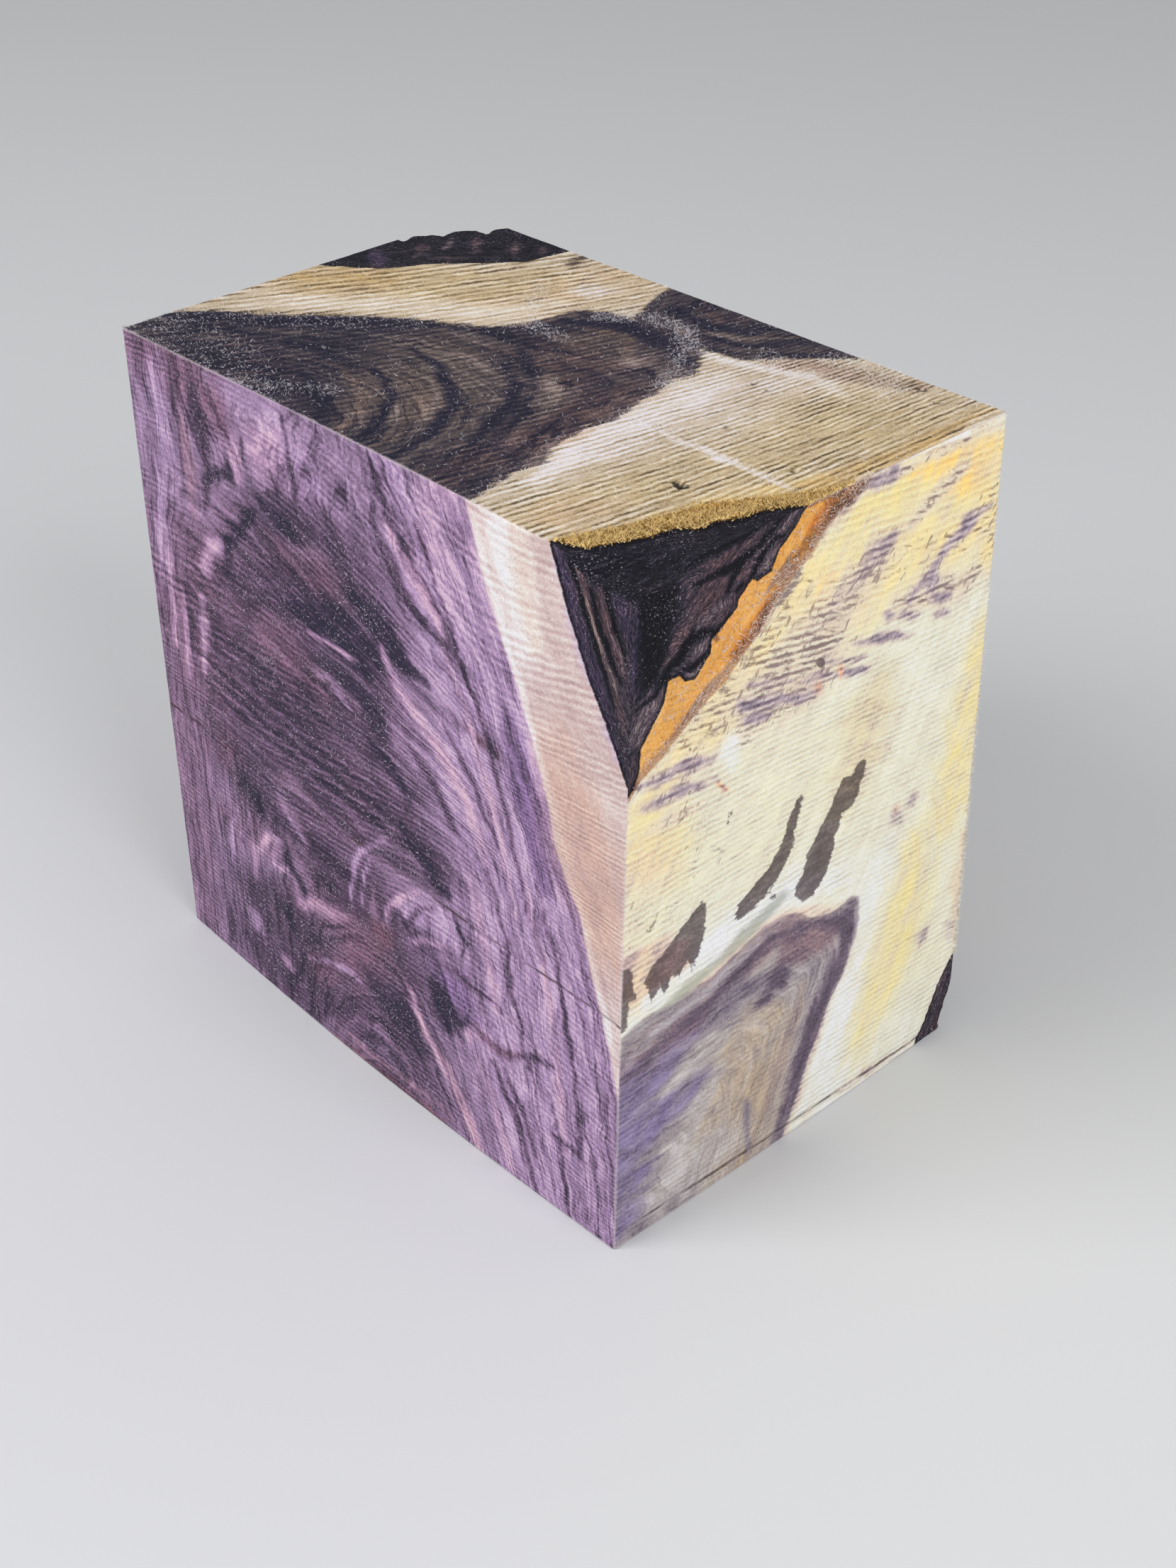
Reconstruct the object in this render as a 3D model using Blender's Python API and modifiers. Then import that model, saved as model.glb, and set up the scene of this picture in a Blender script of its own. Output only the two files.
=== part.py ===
"""Wood turning blank: a block of walnut sawn out of a forked log, with the log's bark left on its corners.

The block is one piece of stock. Its six faces are rough sawn and a little out of square, and its arrises
are broken by handling. Three corners reach the bark, and at two of them the log's furrowed outside is
the real surface.
"""
import math

import bmesh
import bpy
from mathutils import Vector

# Sawn size in metres, with X across the front, Y from the front to the back and Z up
WIDTH = 0.1996
DEPTH = 0.1359
HEIGHT = 0.2030

# How far the saw left each corner off the true box, as (x, y, z), keyed by right, back and top
OFF_SQUARE = {
    (0, 0, 0): Vector((0.0012, 0.0012, 0.0)),
    (1, 0, 0): Vector((0.0, 0.0, 0.0)),
    (0, 1, 0): Vector((0.0, 0.0, 0.0)),
    (1, 1, 0): Vector((0.0030, 0.0032, 0.0)),
    (0, 0, 1): Vector((0.0015, 0.0028, 0.0002)),
    (1, 0, 1): Vector((0.0018, 0.0021, 0.0004)),
    (0, 1, 1): Vector((-0.0028, -0.0033, -0.0001)),
    (1, 1, 1): Vector((0.0, -0.0005, -0.0008)),
}

# The saw wandered: how far mid-face stands out at the foot of the front and right faces, and how
# far the front face is hollow at its top
FRONT_BELLY = 0.0026
RIGHT_BELLY = 0.0008
FRONT_HOLLOW = 0.0012

# Width of the broken arris along every sawn edge
ARRIS = 0.0006

# Spacing of the cuts that let the wandering faces bend
FACE_STEP = 0.0170

# The log's outside: its radius, and the pitch and depth of the furrows in its bark. The furrows snake
# from side to side along the log, and shallower cracks cross the ridges between them.
LOG_RADIUS = 0.1500
FURROW_PITCH = 0.0130
FURROW_DEPTH = 0.0020
FURROW_SHARPNESS = 1.5
SNAKE_LENGTH = 0.0900
SNAKE_SHARE = 0.2
CRACK_PITCH = 0.0300
CRACK_DEPTH = 0.0005

# Spacing of the points on the log's outside
BARK_STEP = 0.0022

# What the log's outside leaves missing at each bark corner, measured along X, Y and Z
BACK_TOP_WANE = Vector((0.0150, 0.0250, 0.0180))
BACK_FOOT_WANE = Vector((0.0150, 0.0024, 0.0170))

# How far the cut of a wane reaches past the longest side of what is missing
WANE_REACH = 2.2

WOOD_COLOUR = (0.30, 0.17, 0.13, 1.0)
BARK_COLOUR = (0.020, 0.014, 0.013, 1.0)
WOOD_ROUGHNESS = 0.80
BARK_ROUGHNESS = 0.95


def rough_material(name, colour, roughness):
    material = bpy.data.materials.new(name)
    material.use_nodes = True
    shader = material.node_tree.nodes["Principled BSDF"]
    shader.inputs["Base Color"].default_value = colour
    shader.inputs["Roughness"].default_value = roughness
    shader.inputs["Metallic"].default_value = 0.0
    return material


def new_object(name, bm, collection, material):
    mesh = bpy.data.meshes.new(name)
    bm.to_mesh(mesh)
    bm.free()
    mesh.materials.append(material)
    obj = bpy.data.objects.new(name, mesh)
    collection.objects.link(obj)
    return obj


def out_of_square(point):
    """A point of the true box, moved as the saw left it: corners off square, faces bellied."""
    right, back, top = point.x / WIDTH, point.y / DEPTH, point.z / HEIGHT
    moved = point.copy()
    for (is_right, is_back, is_top), offset in OFF_SQUARE.items():
        share_x = right if is_right else 1.0 - right
        share_y = back if is_back else 1.0 - back
        share_z = top if is_top else 1.0 - top
        moved += offset * (share_x * share_y * share_z)
    front_bow = FRONT_BELLY * (1.0 - top) - FRONT_HOLLOW * top
    moved.y -= front_bow * math.sin(math.pi * right) * (1.0 - back)
    moved.x += RIGHT_BELLY * (1.0 - top) * math.sin(math.pi * back) * right
    return moved


def sawn_block(collection, material):
    """The sawn block, in steps along each side so that its faces can bend."""
    bm = bmesh.new()
    bmesh.ops.create_cube(bm, size=1.0)
    bmesh.ops.translate(bm, vec=(0.5, 0.5, 0.5), verts=bm.verts)
    bmesh.ops.scale(bm, vec=(WIDTH, DEPTH, HEIGHT), verts=bm.verts)
    for axis, length in enumerate((WIDTH, DEPTH, HEIGHT)):
        steps = max(2, round(length / FACE_STEP))
        normal = Vector((0.0, 0.0, 0.0))
        normal[axis] = 1.0
        for step in range(1, steps):
            geometry = bm.verts[:] + bm.edges[:] + bm.faces[:]
            place = normal * (length * step / steps)
            bmesh.ops.bisect_plane(bm, geom=geometry, plane_co=place, plane_no=normal)
    for vert in bm.verts:
        vert.co = out_of_square(vert.co)
    block = new_object("turning_blank", bm, collection, material)
    arris = block.modifiers.new("broken_arris", "BEVEL")
    arris.width = ARRIS
    arris.segments = 2
    arris.limit_method = "ANGLE"
    arris.angle_limit = math.radians(60.0)
    return block


def furrow_depth(across, along):
    """How deep the bark is furrowed at a place on the log's outside."""
    snake = SNAKE_SHARE * math.sin(2.0 * math.pi * along / SNAKE_LENGTH)
    turn = math.pi * (across / FURROW_PITCH + snake)
    groove = (1.0 - abs(math.sin(turn))) ** FURROW_SHARPNESS
    crack = 0.5 + 0.5 * math.sin(2.0 * math.pi * along / CRACK_PITCH + turn)
    return FURROW_DEPTH * groove + CRACK_DEPTH * crack


def bark_cutter(name, corner, outward, wane, collection, material):
    """What lies outside the log at one corner: its furrowed outside, thickened away from the wood."""
    normal = Vector((outward[0] / wane.x, outward[1] / wane.y, outward[2] / wane.z)).normalized()
    along = (Vector((0.0, 0.0, 1.0)) - normal * normal.z).normalized()
    across = along.cross(normal)
    # The log's outside passes through the end of each of the three missing lengths
    foot = corner - normal * (wane.x * abs(normal.x))
    half = WANE_REACH * max(wane)
    steps = math.ceil(2.0 * half / BARK_STEP)
    bm = bmesh.new()
    bmesh.ops.create_grid(bm, x_segments=steps, y_segments=steps, size=half)
    for vert in bm.verts:
        angle = vert.co.x / LOG_RADIUS
        radius = LOG_RADIUS - furrow_depth(vert.co.x, vert.co.y)
        side = radius * math.sin(angle)
        rise = radius * math.cos(angle) - LOG_RADIUS
        vert.co = foot + across * side + along * vert.co.y + normal * rise
    bm.normal_update()
    outside_up = sum(face.normal.dot(normal) for face in bm.faces)
    if outside_up < 0.0:
        bmesh.ops.reverse_faces(bm, faces=bm.faces)
    cutter = new_object(name, bm, collection, material)
    cutter.hide_render = True
    cutter.display_type = "WIRE"
    thickness = cutter.modifiers.new("outside_the_log", "SOLIDIFY")
    thickness.thickness = 2.0 * half
    thickness.offset = 1.0
    return cutter


def cut_wane(block, cutter):
    cut = block.modifiers.new(cutter.name, "BOOLEAN")
    cut.operation = "DIFFERENCE"
    cut.solver = "EXACT"
    cut.material_mode = "TRANSFER"
    cut.object = cutter


def stand_on_origin(block, cutters):
    """Puts the middle of the block's base at the origin. The cutters go with it."""
    places = [vert.co for vert in block.data.vertices]
    low = Vector([min(place[axis] for place in places) for axis in range(3)])
    high = Vector([max(place[axis] for place in places) for axis in range(3)])
    shift = Vector((-(low.x + high.x) / 2.0, -(low.y + high.y) / 2.0, -low.z))
    for obj in (block, *cutters):
        for vert in obj.data.vertices:
            vert.co += shift


for old in list(bpy.data.objects):
    bpy.data.objects.remove(old, do_unlink=True)

parts = bpy.data.collections.new("turning_blank")
guides = bpy.data.collections.new("log_outside")
bpy.context.scene.collection.children.link(parts)
bpy.context.scene.collection.children.link(guides)

wood = rough_material("sawn_walnut", WOOD_COLOUR, WOOD_ROUGHNESS)
bark = rough_material("walnut_bark", BARK_COLOUR, BARK_ROUGHNESS)

blank = sawn_block(parts, wood)

# Each waney corner: its name, which sides of the block meet there, and what is missing
waney_corners = (
    ("wane_back_top", (0, 1, 1), BACK_TOP_WANE),
    ("wane_back_foot", (1, 1, 0), BACK_FOOT_WANE),
)
outsides = []
for wane_name, sides, missing in waney_corners:
    true_corner = Vector((sides[0] * WIDTH, sides[1] * DEPTH, sides[2] * HEIGHT))
    outward_signs = [1.0 if side else -1.0 for side in sides]
    outside = bark_cutter(wane_name, out_of_square(true_corner), outward_signs, missing, guides, bark)
    cut_wane(blank, outside)
    outsides.append(outside)

stand_on_origin(blank, outsides)
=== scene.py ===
import math

import bmesh
import bpy
import numpy as np
from mathutils import Matrix, Vector, noise


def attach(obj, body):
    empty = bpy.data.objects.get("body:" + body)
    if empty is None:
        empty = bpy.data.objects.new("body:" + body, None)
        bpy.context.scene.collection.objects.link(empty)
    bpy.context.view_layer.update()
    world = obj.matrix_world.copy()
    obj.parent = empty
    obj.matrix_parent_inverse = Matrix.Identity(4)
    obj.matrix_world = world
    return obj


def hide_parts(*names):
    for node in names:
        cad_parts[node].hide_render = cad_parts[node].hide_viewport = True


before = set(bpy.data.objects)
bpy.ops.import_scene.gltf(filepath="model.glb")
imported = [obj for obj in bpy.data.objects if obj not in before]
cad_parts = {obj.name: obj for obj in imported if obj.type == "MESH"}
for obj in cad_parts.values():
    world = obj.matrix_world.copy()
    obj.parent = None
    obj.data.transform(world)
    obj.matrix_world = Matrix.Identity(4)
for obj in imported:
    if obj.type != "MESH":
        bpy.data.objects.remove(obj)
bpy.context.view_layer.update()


# The sawn block
# One piece of walnut sawn out of a forked log, left rough from the saw: dark heartwood, pale sapwood,
# a spongy orange cambium and black bark, all grown together. Places on it are in millimetres from the
# foot of the near corner, where the front and right faces meet, with x running back to the left below 0.

SIZE = np.array([199.6, 135.9, 203.0])
NEAR_FOOT = np.array([SIZE[0], 0.0, 0.0])

# How far the saw left each corner off the true box, keyed by right, back and top, as on the solid
OFF_SQUARE = {
    (0, 0, 0): (1.2, 1.2, 0.0),
    (1, 1, 0): (3.0, 3.2, 0.0),
    (0, 0, 1): (1.5, 2.8, 0.2),
    (1, 0, 1): (1.8, 2.1, 0.4),
    (0, 1, 1): (-2.8, -3.3, -0.1),
    (1, 1, 1): (0.0, -0.5, -0.8),
}
FRONT_BELLY = 2.6
RIGHT_BELLY = 0.8
FRONT_HOLLOW = 1.2

# Spacing of the mesh's lines before the visible faces are refined, and how far from an arris its first
# line is drawn in, so that the arris can be broken
CELL = 2.65
ARRIS_CELL = 0.95
ARRIS_RADIUS = 0.55

# The log's outside, as on the solid
LOG_RADIUS = 150.0
FURROW_PITCH = 13.0
FURROW_DEPTH = 2.0
FURROW_SHARPNESS = 1.5
SNAKE_LENGTH = 90.0
SNAKE_SHARE = 0.2
CRACK_PITCH = 30.0
CRACK_DEPTH = 0.5
WANES = {(0, 1, 1): (15.0, 25.0, 18.0), (1, 1, 0): (15.0, 2.4, 17.0)}

# Each face: its outward direction and the two directions that its own places are read along
FACES = {
    "top": (2, 1, (0, 1)),
    "front": (1, -1, (0, 2)),
    "right": (0, 1, (1, 2)),
    "left": (0, -1, (1, 2)),
    "back": (1, 1, (0, 2)),
    "base": (2, -1, (0, 1)),
}
FACE_NAMES = list(FACES)
SEEN_FACES = ("top", "front", "right")

# Outlines of the heartwood, bark and cambium where each face cuts them
HEART = {
    "top": ((-215, 10), (-198, 20), (-191.6, 28), (-178, 36.5), (-170, 46), (-161.5, 53), (-155, 60.6),
            (-145, 68), (-140, 70), (-130, 77), (-125, 85), (-124, 100), (-118, 107), (-108, 109),
            (-113, 120), (-117, 130), (-119, 137), (-121, 150), (-42, 150), (-46, 136), (-50, 130),
            (-60, 120), (-67, 110), (-80, 108), (-75, 103), (-70, 95), (-70, 85), (-67, 75), (-65, 65),
            (-62, 59), (-64.5, 50), (-62.5, 39), (-57, 30), (-56, 14), (-53, 1), (-52, -15), (-215, -15)),
    "front": ((-215, 215), (-55, 215), (-54.6, 203), (-50, 189), (-44, 174), (-39, 166), (-35, 157),
              (-32, 150), (-28.7, 140), (-26, 132), (-24, 124), (-20.8, 116.5), (-14.8, 106.5), (-7.5, 82),
              (-3.5, 71), (-1.5, 62), (3, 45), (20, 20), (20, -15), (-215, -15)),
    "right": ((-15, 69), (0.3, 70.2), (1, 75.5), (8.3, 77.5), (18.9, 76.8), (32.8, 77.5), (43.4, 81.4),
              (52, 84), (60.7, 83.4), (66, 80.8), (70, 77.5), (78.6, 74), (86.6, 75.5), (90.6, 73.5),
              (91.9, 66.2), (90.6, 59.6), (85.3, 47), (80, 39), (74, 25.7), (70, 13.8), (66.6, 5.8),
              (64, -2), (62, -15), (-15, -15)),
    "left": ((22, 215), (22, 203), (60, 168), (100, 130), (136, 90), (150, 75), (150, -15), (-15, -15),
             (-15, 215)),
    "back": ((-120, 215), (-119, 203), (-150, 150), (-200, 90), (-215, 78), (-215, -15), (-112, -15),
             (-100, 50), (-82, 110), (-60, 165), (-47, 203), (-45, 215)),
    "base": ((20, -15), (20, 55), (0, 65), (-30, 84), (-70, 104), (-100, 124), (-111, 136), (-114, 150),
             (-215, 150), (-215, -15)),
}

BARK = {
    "top": (
        ((-26, -10), (-25.7, 3.7), (-17.6, 6.4), (-15, 13), (-12, 20), (-11.6, 27), (-7.6, 31), (-7.2, 37),
         (-4.2, 43), (-3.5, 50), (1, 58.6), (20, 66), (20, -10)),
        ((-215, 60), (-198.8, 72), (-186, 82), (-179, 95), (-170, 106), (-161, 117), (-159.6, 126),
         (-159, 131), (-158, 150), (-215, 150))),
    "front": (
        ((-25.6, 215), (-25.4, 202.7), (-20.8, 191.4), (-16, 181.5), (-10.8, 171.5), (-3.5, 159.6),
         (1.5, 150), (10, 138), (20, 215)),),
    "right": (
        ((-15, 142), (1.3, 148), (3.6, 149.6), (5.3, 153), (5.6, 159.6), (10.3, 164.9), (12.9, 168.9),
         (14.2, 174.2), (17.6, 174.2), (19.5, 171.8), (22.9, 171), (27.8, 175.8), (28.2, 179.5),
         (30.2, 180.5), (36.1, 184.6), (36.8, 186.8), (41.4, 190), (42.8, 188.9), (47.4, 189.8), (50, 194.4),
         (55, 198), (59.3, 203), (64, 215), (-15, 215)),
        ((148, 38), (139.6, 29.7), (136.3, 25.7), (131.7, 18.4), (127.7, 9.2), (124.4, 2.5), (121.7, -2),
         (118, -15), (160, -15), (160, 38))),
    "left": (((70, 215), (72, 203), (95, 185), (118, 166), (133, 149), (150, 138), (150, 215)),),
    "back": (
        ((-158, 215), (-159, 203), (-173, 180), (-197, 150), (-215, 142), (-215, 215)),
        ((12, 42), (0, 31), (-16, 33), (-36, 38), (-60, 36), (-78, 26), (-88, 10), (-92, -15), (15, -15))),
    "base": (((12, 105), (0, 121), (-14, 126), (-36, 128), (-62, 130), (-84, 135), (-96, 150), (15, 150)),),
}

CAMBIUM = {
    "top": ((-28, -10), (-25.7, 3.7), (-23, 13), (-19, 25), (-15.6, 41), (-11, 50.6), (-7, 58), (-3, 64),
            (0, 76), (20, 84), (20, -10)),
    "front": ((-24, 215), (-19, 191), (-9, 171.5), (-1.8, 159.6), (3, 150), (12, 142), (20, 215)),
    "right": ((-15, 140), (2, 147), (5.6, 151), (12.3, 154.3), (16.9, 156.9), (22.2, 160.9), (28.2, 164.2),
              (34.1, 166.9), (39.4, 171.5), (43.4, 174.8), (50, 181.5), (56.7, 186.8), (60.7, 188.4),
              (66, 194), (70, 196.7), (78.6, 200), (84, 204), (84, 215), (-15, 215)),
    "left": ((66, 215), (68, 203), (92, 181), (115, 161), (131, 144), (150, 130), (150, 215)),
    "back": ((-153, 215), (-154, 203), (-169, 178), (-194, 145), (-215, 136), (-215, 215)),
    "base": ((14, 100), (0, 117), (-12, 126), (-26, 137), (-30, 150), (15, 150)),
}

# Lines that the growth rings follow on each face, and the count of each in millimetres across the grain.
# On the front the two stems of the fork meet: arches below, upright grain at both sides.
RINGS = {
    "top": (
        (-26, ((20, 40), (14, 90), (10, 136))),
        (0, ((-27, -12), (-18, 6), (-12, 20), (-7, 37), (-3.5, 50), (1, 64), (2, 90), (0, 136))),
        (34, ((-51, -15), (-53, 1), (-57, 30), (-64, 50), (-66, 75), (-66, 95), (-52, 112), (-34, 136))),
        (44, ((-62, -15), (-66, 10), (-70, 30), (-76, 50), (-78, 75))),
        (56, ((-74, -15), (-80, 8), (-88, 30), (-104, 44), (-124, 50), (-142, 46), (-160, 38), (-186, 22))),
        (68, ((-86, -15), (-92, 6), (-104, 24), (-122, 32), (-140, 30), (-160, 22), (-180, 8))),
        (82, ((-100, -15), (-110, 4), (-124, 14), (-142, 12), (-156, 2))),
        (44, ((-215, 10), (-198, 22), (-178, 38), (-156, 58), (-138, 70), (-120, 72), (-100, 70))),
        (34, ((-215, 26), (-192, 44), (-170, 64), (-150, 88), (-140, 110), (-138, 136))),
        (0, ((-215, 62), (-198, 72), (-179, 95), (-165, 112), (-158, 136))),
        (-20, ((-205, 100), (-190, 136))),
        (40, ((-116, 136), (-112, 118), (-94, 106), (-76, 110), (-62, 124), (-54, 136))),
        (52, ((-104, 136), (-98, 124), (-86, 120), (-76, 128), (-70, 138)))),
    "front": (
        (-24, ((-20, 215), (-12, 180), (2, 150))),
        (0, ((-56, 215), (-50, 189), (-39, 166), (-28.7, 140), (-22, 120), (-14.8, 106), (-6, 80), (0, 50),
             (6, -15))),
        (24, ((-84, 215), (-72, 186), (-58, 166), (-48, 146), (-38, 120), (-30, 90), (-22, 56), (-14, 20),
              (-8, -15))),
        (48, ((-116, 215), (-119, 195), (-122, 176), (-100, 158), (-84, 143), (-67, 129), (-56, 116),
              (-48, 100), (-42, 76), (-36, 45), (-24, -15))),
        (48, ((-172, 215), (-171, 195), (-162, 175), (-166, 150), (-176, 120), (-180, 60), (-182, -15))),
        (57, ((-146, 215), (-143, 204), (-141, 190))),
        (62, ((-166, 0), (-168, 60), (-170, 100), (-166, 134), (-150, 152), (-124, 156), (-100, 149),
              (-84, 138), (-70, 118), (-60, 90), (-54, 56), (-46, 26), (-34, -15))),
        (76, ((-156, 0), (-158, 50), (-158, 90), (-148, 122), (-124, 132), (-100, 126), (-82, 108),
              (-70, 82), (-64, 54), (-54, 26), (-42, -15))),
        (88, ((-146, 0), (-147, 40), (-144, 76), (-126, 102), (-104, 100), (-86, 78), (-76, 50), (-62, 24),
              (-50, -10))),
        (98, ((-134, 0), (-131, 24), (-120, 42), (-100, 46), (-82, 38), (-70, 22), (-60, 0))),
        (112, ((-118, 2), (-110, 20), (-97, 27), (-84, 18), (-76, 0))),
        (30, ((-188, 215), (-187, 150), (-190, 60), (-190, -15))),
        (12, ((-203, 215), (-202, 150), (-203, 60), (-203, -15)))),
    "right": (
        (0, ((-15, 76), (10, 78), (33, 78), (52, 84), (66, 81), (80, 74), (91, 72), (90, 59), (80, 39),
             (70, 13), (62, -15))),
        (14, ((-15, 96), (30, 94), (60, 98), (86, 92), (106, 80), (104, 54), (92, 24), (80, -15))),
        (-14, ((-15, 60), (10, 62), (34, 64), (54, 68), (72, 62), (72, 46), (62, 24), (50, -15))),
        (-30, ((-15, 40), (20, 46), (46, 50), (52, 38), (44, 14), (38, -15))),
        (38, ((-15, 118), (30, 122), (70, 126), (110, 108), (124, 80), (122, 40), (108, -15))),
        (62, ((-15, 140), (30, 146), (70, 160), (110, 168), (145, 172))),
        (86, ((0, 158), (30, 176), (60, 196), (80, 210)))),
    "left": (
        (-26, ((60, 215), (100, 178), (150, 128))),
        (0, ((20, 212), (66, 170), (104, 132), (150, 90))),
        (44, ((-15, 184), (28, 136), (76, 90), (120, 40), (150, 14))),
        (88, ((-15, 116), (20, 82), (56, 30), (92, -15)))),
    "back": (
        (-44, ((4, 215), (-8, 150), (-30, 70), (-46, -15))),
        (0, ((-38, 215), (-54, 160), (-78, 100), (-98, 30), (-108, -15))),
        (40, ((-76, 215), (-96, 150), (-124, 80), (-150, -15))),
        (84, ((-118, 215), (-146, 150), (-186, 84), (-215, 30)))),
    "base": (
        (-30, ((15, 104), (-30, 130), (-70, 150))),
        (0, ((15, 68), (-34, 94), (-74, 114), (-120, 150))),
        (48, ((15, 22), (-50, 54), (-116, 92), (-180, 150))),
        (96, ((-20, -15), (-90, 18), (-160, 56), (-215, 100)))),
}

# Tones that the wood takes: how light, how far towards violet, gold and rust, and how mottled
TONE_CHANNELS = ("shade", "violet", "gold", "rust", "mottle")
TONES = {
    "black": (-1.1, 0.2, 0.0, 0.0, 0.0),
    "dusk": (-0.72, 0.15, 0.0, 0.1, 0.0),
    "brown": (-0.45, 0.0, 0.1, 0.5, 0.0),
    "plum": (-0.45, 0.1, 0.0, 0.35, 0.0),
    "mauve": (-0.22, 0.0, 0.0, 0.15, 0.0),
    "violet": (-0.35, 0.7, 0.0, 0.0, 0.0),
    "mauvish": (-0.25, 0.55, 0.0, 0.1, 0.0),
    "amethyst": (-0.16, 1.0, 0.0, 0.05, 0.0),
    "fawn": (0.30, 0.0, 0.42, 0.10, 0.0),
    "russet": (0.25, 0.0, 0.3, 1.2, 0.0),
    "rust": (-0.5, 0.0, 0.3, 0.9, 0.0),
    "grey": (-0.3, 0.15, 0.0, 0.0, 0.0),
    "olive": (0.1, 0.0, 0.15, 0.0, 0.0),
    "tan": (0.0, 0.0, 0.2, 0.15, 0.0),
    "lilac": (0.36, 0.12, 0.0, 0.0, 0.0),
    "pink": (0.50, 0.0, 0.0, 0.15, 0.0),
    "peach": (0.62, 0.0, 0.12, 0.18, 0.0),
    "cream": (0.6, 0.0, 0.1, 0.0, 0.0),
    "white": (0.95, 0.1, 0.0, 0.0, 0.0),
    "lemon": (0.55, 0.0, 0.22, 0.0, 0.0),
    "straw": (-0.05, 0.0, 0.30, 0.0, 0.0),
    "ochre": (-0.22, 0.0, 0.50, 0.1, 0.0),
    "dun": (-0.50, 0.3, 0.0, 0.1, 0.0),
    "yellow": (0.36, 0.0, 0.66, 0.05, 0.1),
    "orange": (0.35, 0.0, 0.95, 0.30, 0.1),
    "slate": (-0.95, 0.3, 0.0, 0.0, 0.0),
    "specked": (0.45, 0.0, 0.20, 0.0, 0.74),
    "mottled": (0.25, 0.10, 0.20, 0.10, 1.05),
    "blotted": (-0.60, 0.35, 0.0, 0.0, 0.9),
    "freckled": (0.34, 0.0, 0.55, 0.12, 0.85),
    "coal": (-1.2, 0.0, 0.0, 0.0, 0.0),
    "rind": (0.50, 0.0, 0.0, 0.35, 0.0),
    "ash": (0.85, 0.05, 0.0, 0.0, 0.0),
    "dust": (0.40, 0.9, 0.0, 0.0, 0.0),
    "ember": (1.1, 0.0, 0.2, 0.1, 0.0),
    "umber": (-1.0, 0.0, 0.0, 0.3, 0.0),
    "fibrous": (0.1, 0.0, 0.0, 0.0, 1.6),
    "flame": (0.25, 0.0, 0.1, 0.0, 0.0),
}

# What the figure of the wood shows on each face, from the broad to the fine: tone, width and line
FIGURE = {}
FIGURE["top"] = (
    ("tan", 34, ((-190, 58), (-165, 76), (-140, 98), (-134, 130))),
    ("straw", 26, ((-186, 66), (-160, 92), (-150, 112))),
    ("cream", 14, ((-186, 46), (-160, 66), (-138, 82), (-130, 100))),
    ("lilac", 10, ((-134, 112), (-128, 120))),
    ("black", 5, ((-151, 138), (-152, 131), (-149, 124))),
    ("lilac", 26, ((-50, 30), (-56, 60), (-58, 90), (-48, 120))),
    ("white", 12, ((-50, 22), (-58, 44), (-60, 80), (-62, 98))),
    ("white", 5, ((-80, 107), (-68, 106.5), (-57, 113), (-46, 116.6), (-38, 112.5), (-32, 111))),
    ("straw", 26, ((-36, 4), (-30, 30), (-22, 56), (-14, 84))),
    ("straw", 40, ((-24, 80), (-12, 120))),
    ("yellow", 8, ((-18, 28), (-12, 52), (-4, 66), (-1, 90), (-2, 110))),
    ("tan", 16, ((-34, 10), (-30, 24))),
    ("white", 2.5, ((-56, 62.5), (-30, 62.8), (-6, 62.0))),
    ("ochre", 16, ((-200, 56), (-186, 70), (-176, 82))),
    ("ochre", 7, ((-4, 62), (-2, 98), (-4, 134))),
    ("dun", 9, ((-62, 114), (-50, 122), (-34, 127), (-24, 131))),
    ("rind", 3, ((-188, 122), (-178, 112))),
    ("rind", 3, ((-176, 127), (-168, 118))),
    ("rind", 3, ((-194, 106), (-186, 96))),
    ("rind", 2.5, ((-184, 98), (-176, 108))),
    ("rind", 2.5, ((-168, 131), (-162, 124))),
    ("ash", 1.8, ((-192, 116), (-185, 106))),
    ("dust", 6, ((-197, 90), (-189, 84))),
    ("olive", 36, ((-118, 34), (-92, 22))),
    ("olive", 22, ((-140, 60), (-120, 52), (-104, 40))),
    ("plum", 34, ((-104, 88), (-92, 70))),
    ("olive", 12, ((-112, 84), (-98, 92), (-86, 88))),
    ("tan", 5, ((-112, 96), (-98, 99), (-90, 92))),
    ("plum", 14, ((-66, -5), (-69, 20), (-71, 50), (-74, 76))),
    ("black", 12, ((-196, 18), (-176, 32), (-156, 54), (-142, 64))),
    ("dusk", 26, ((-180, 8), (-150, 12), (-112, 4))),
    ("black", 3.4, ((-82, -2), (-86, 18), (-98, 36), (-118, 48), (-134, 52))),
    ("black", 2.6, ((-96, -2), (-100, 14), (-112, 28), (-130, 36))),
    ("tan", 3.5, ((-90, 2), (-94, 18), (-106, 32), (-124, 42))),
    ("tan", 3, ((-106, 6), (-112, 18), (-126, 27), (-140, 30))),
    ("black", 2.8, ((-112, 2), (-122, 14), (-140, 20))),
    ("black", 3.5, ((-159, 29), (-148, 33), (-138, 34))),
    ("black", 3.6, ((-78, 24), (-84, 40), (-94, 54), (-108, 62))),
    ("olive", 4, ((-76, 46), (-84, 58), (-98, 68))),
    ("black", 3, ((-122, 76), (-108, 70), (-92, 58))),
    ("black", 7, ((-120, 94), (-108, 104), (-90, 103), (-76, 98))),
    ("dusk", 5, ((-108, 112), (-94, 108), (-78, 114), (-66, 126))),
    ("olive", 3, ((-106, 118), (-92, 114), (-78, 120), (-68, 132))),
    ("black", 4, ((-106, 124), (-92, 119), (-80, 126), (-74, 137))),
    ("plum", 4, ((-104, 131), (-92, 126), (-84, 134))))
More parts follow.
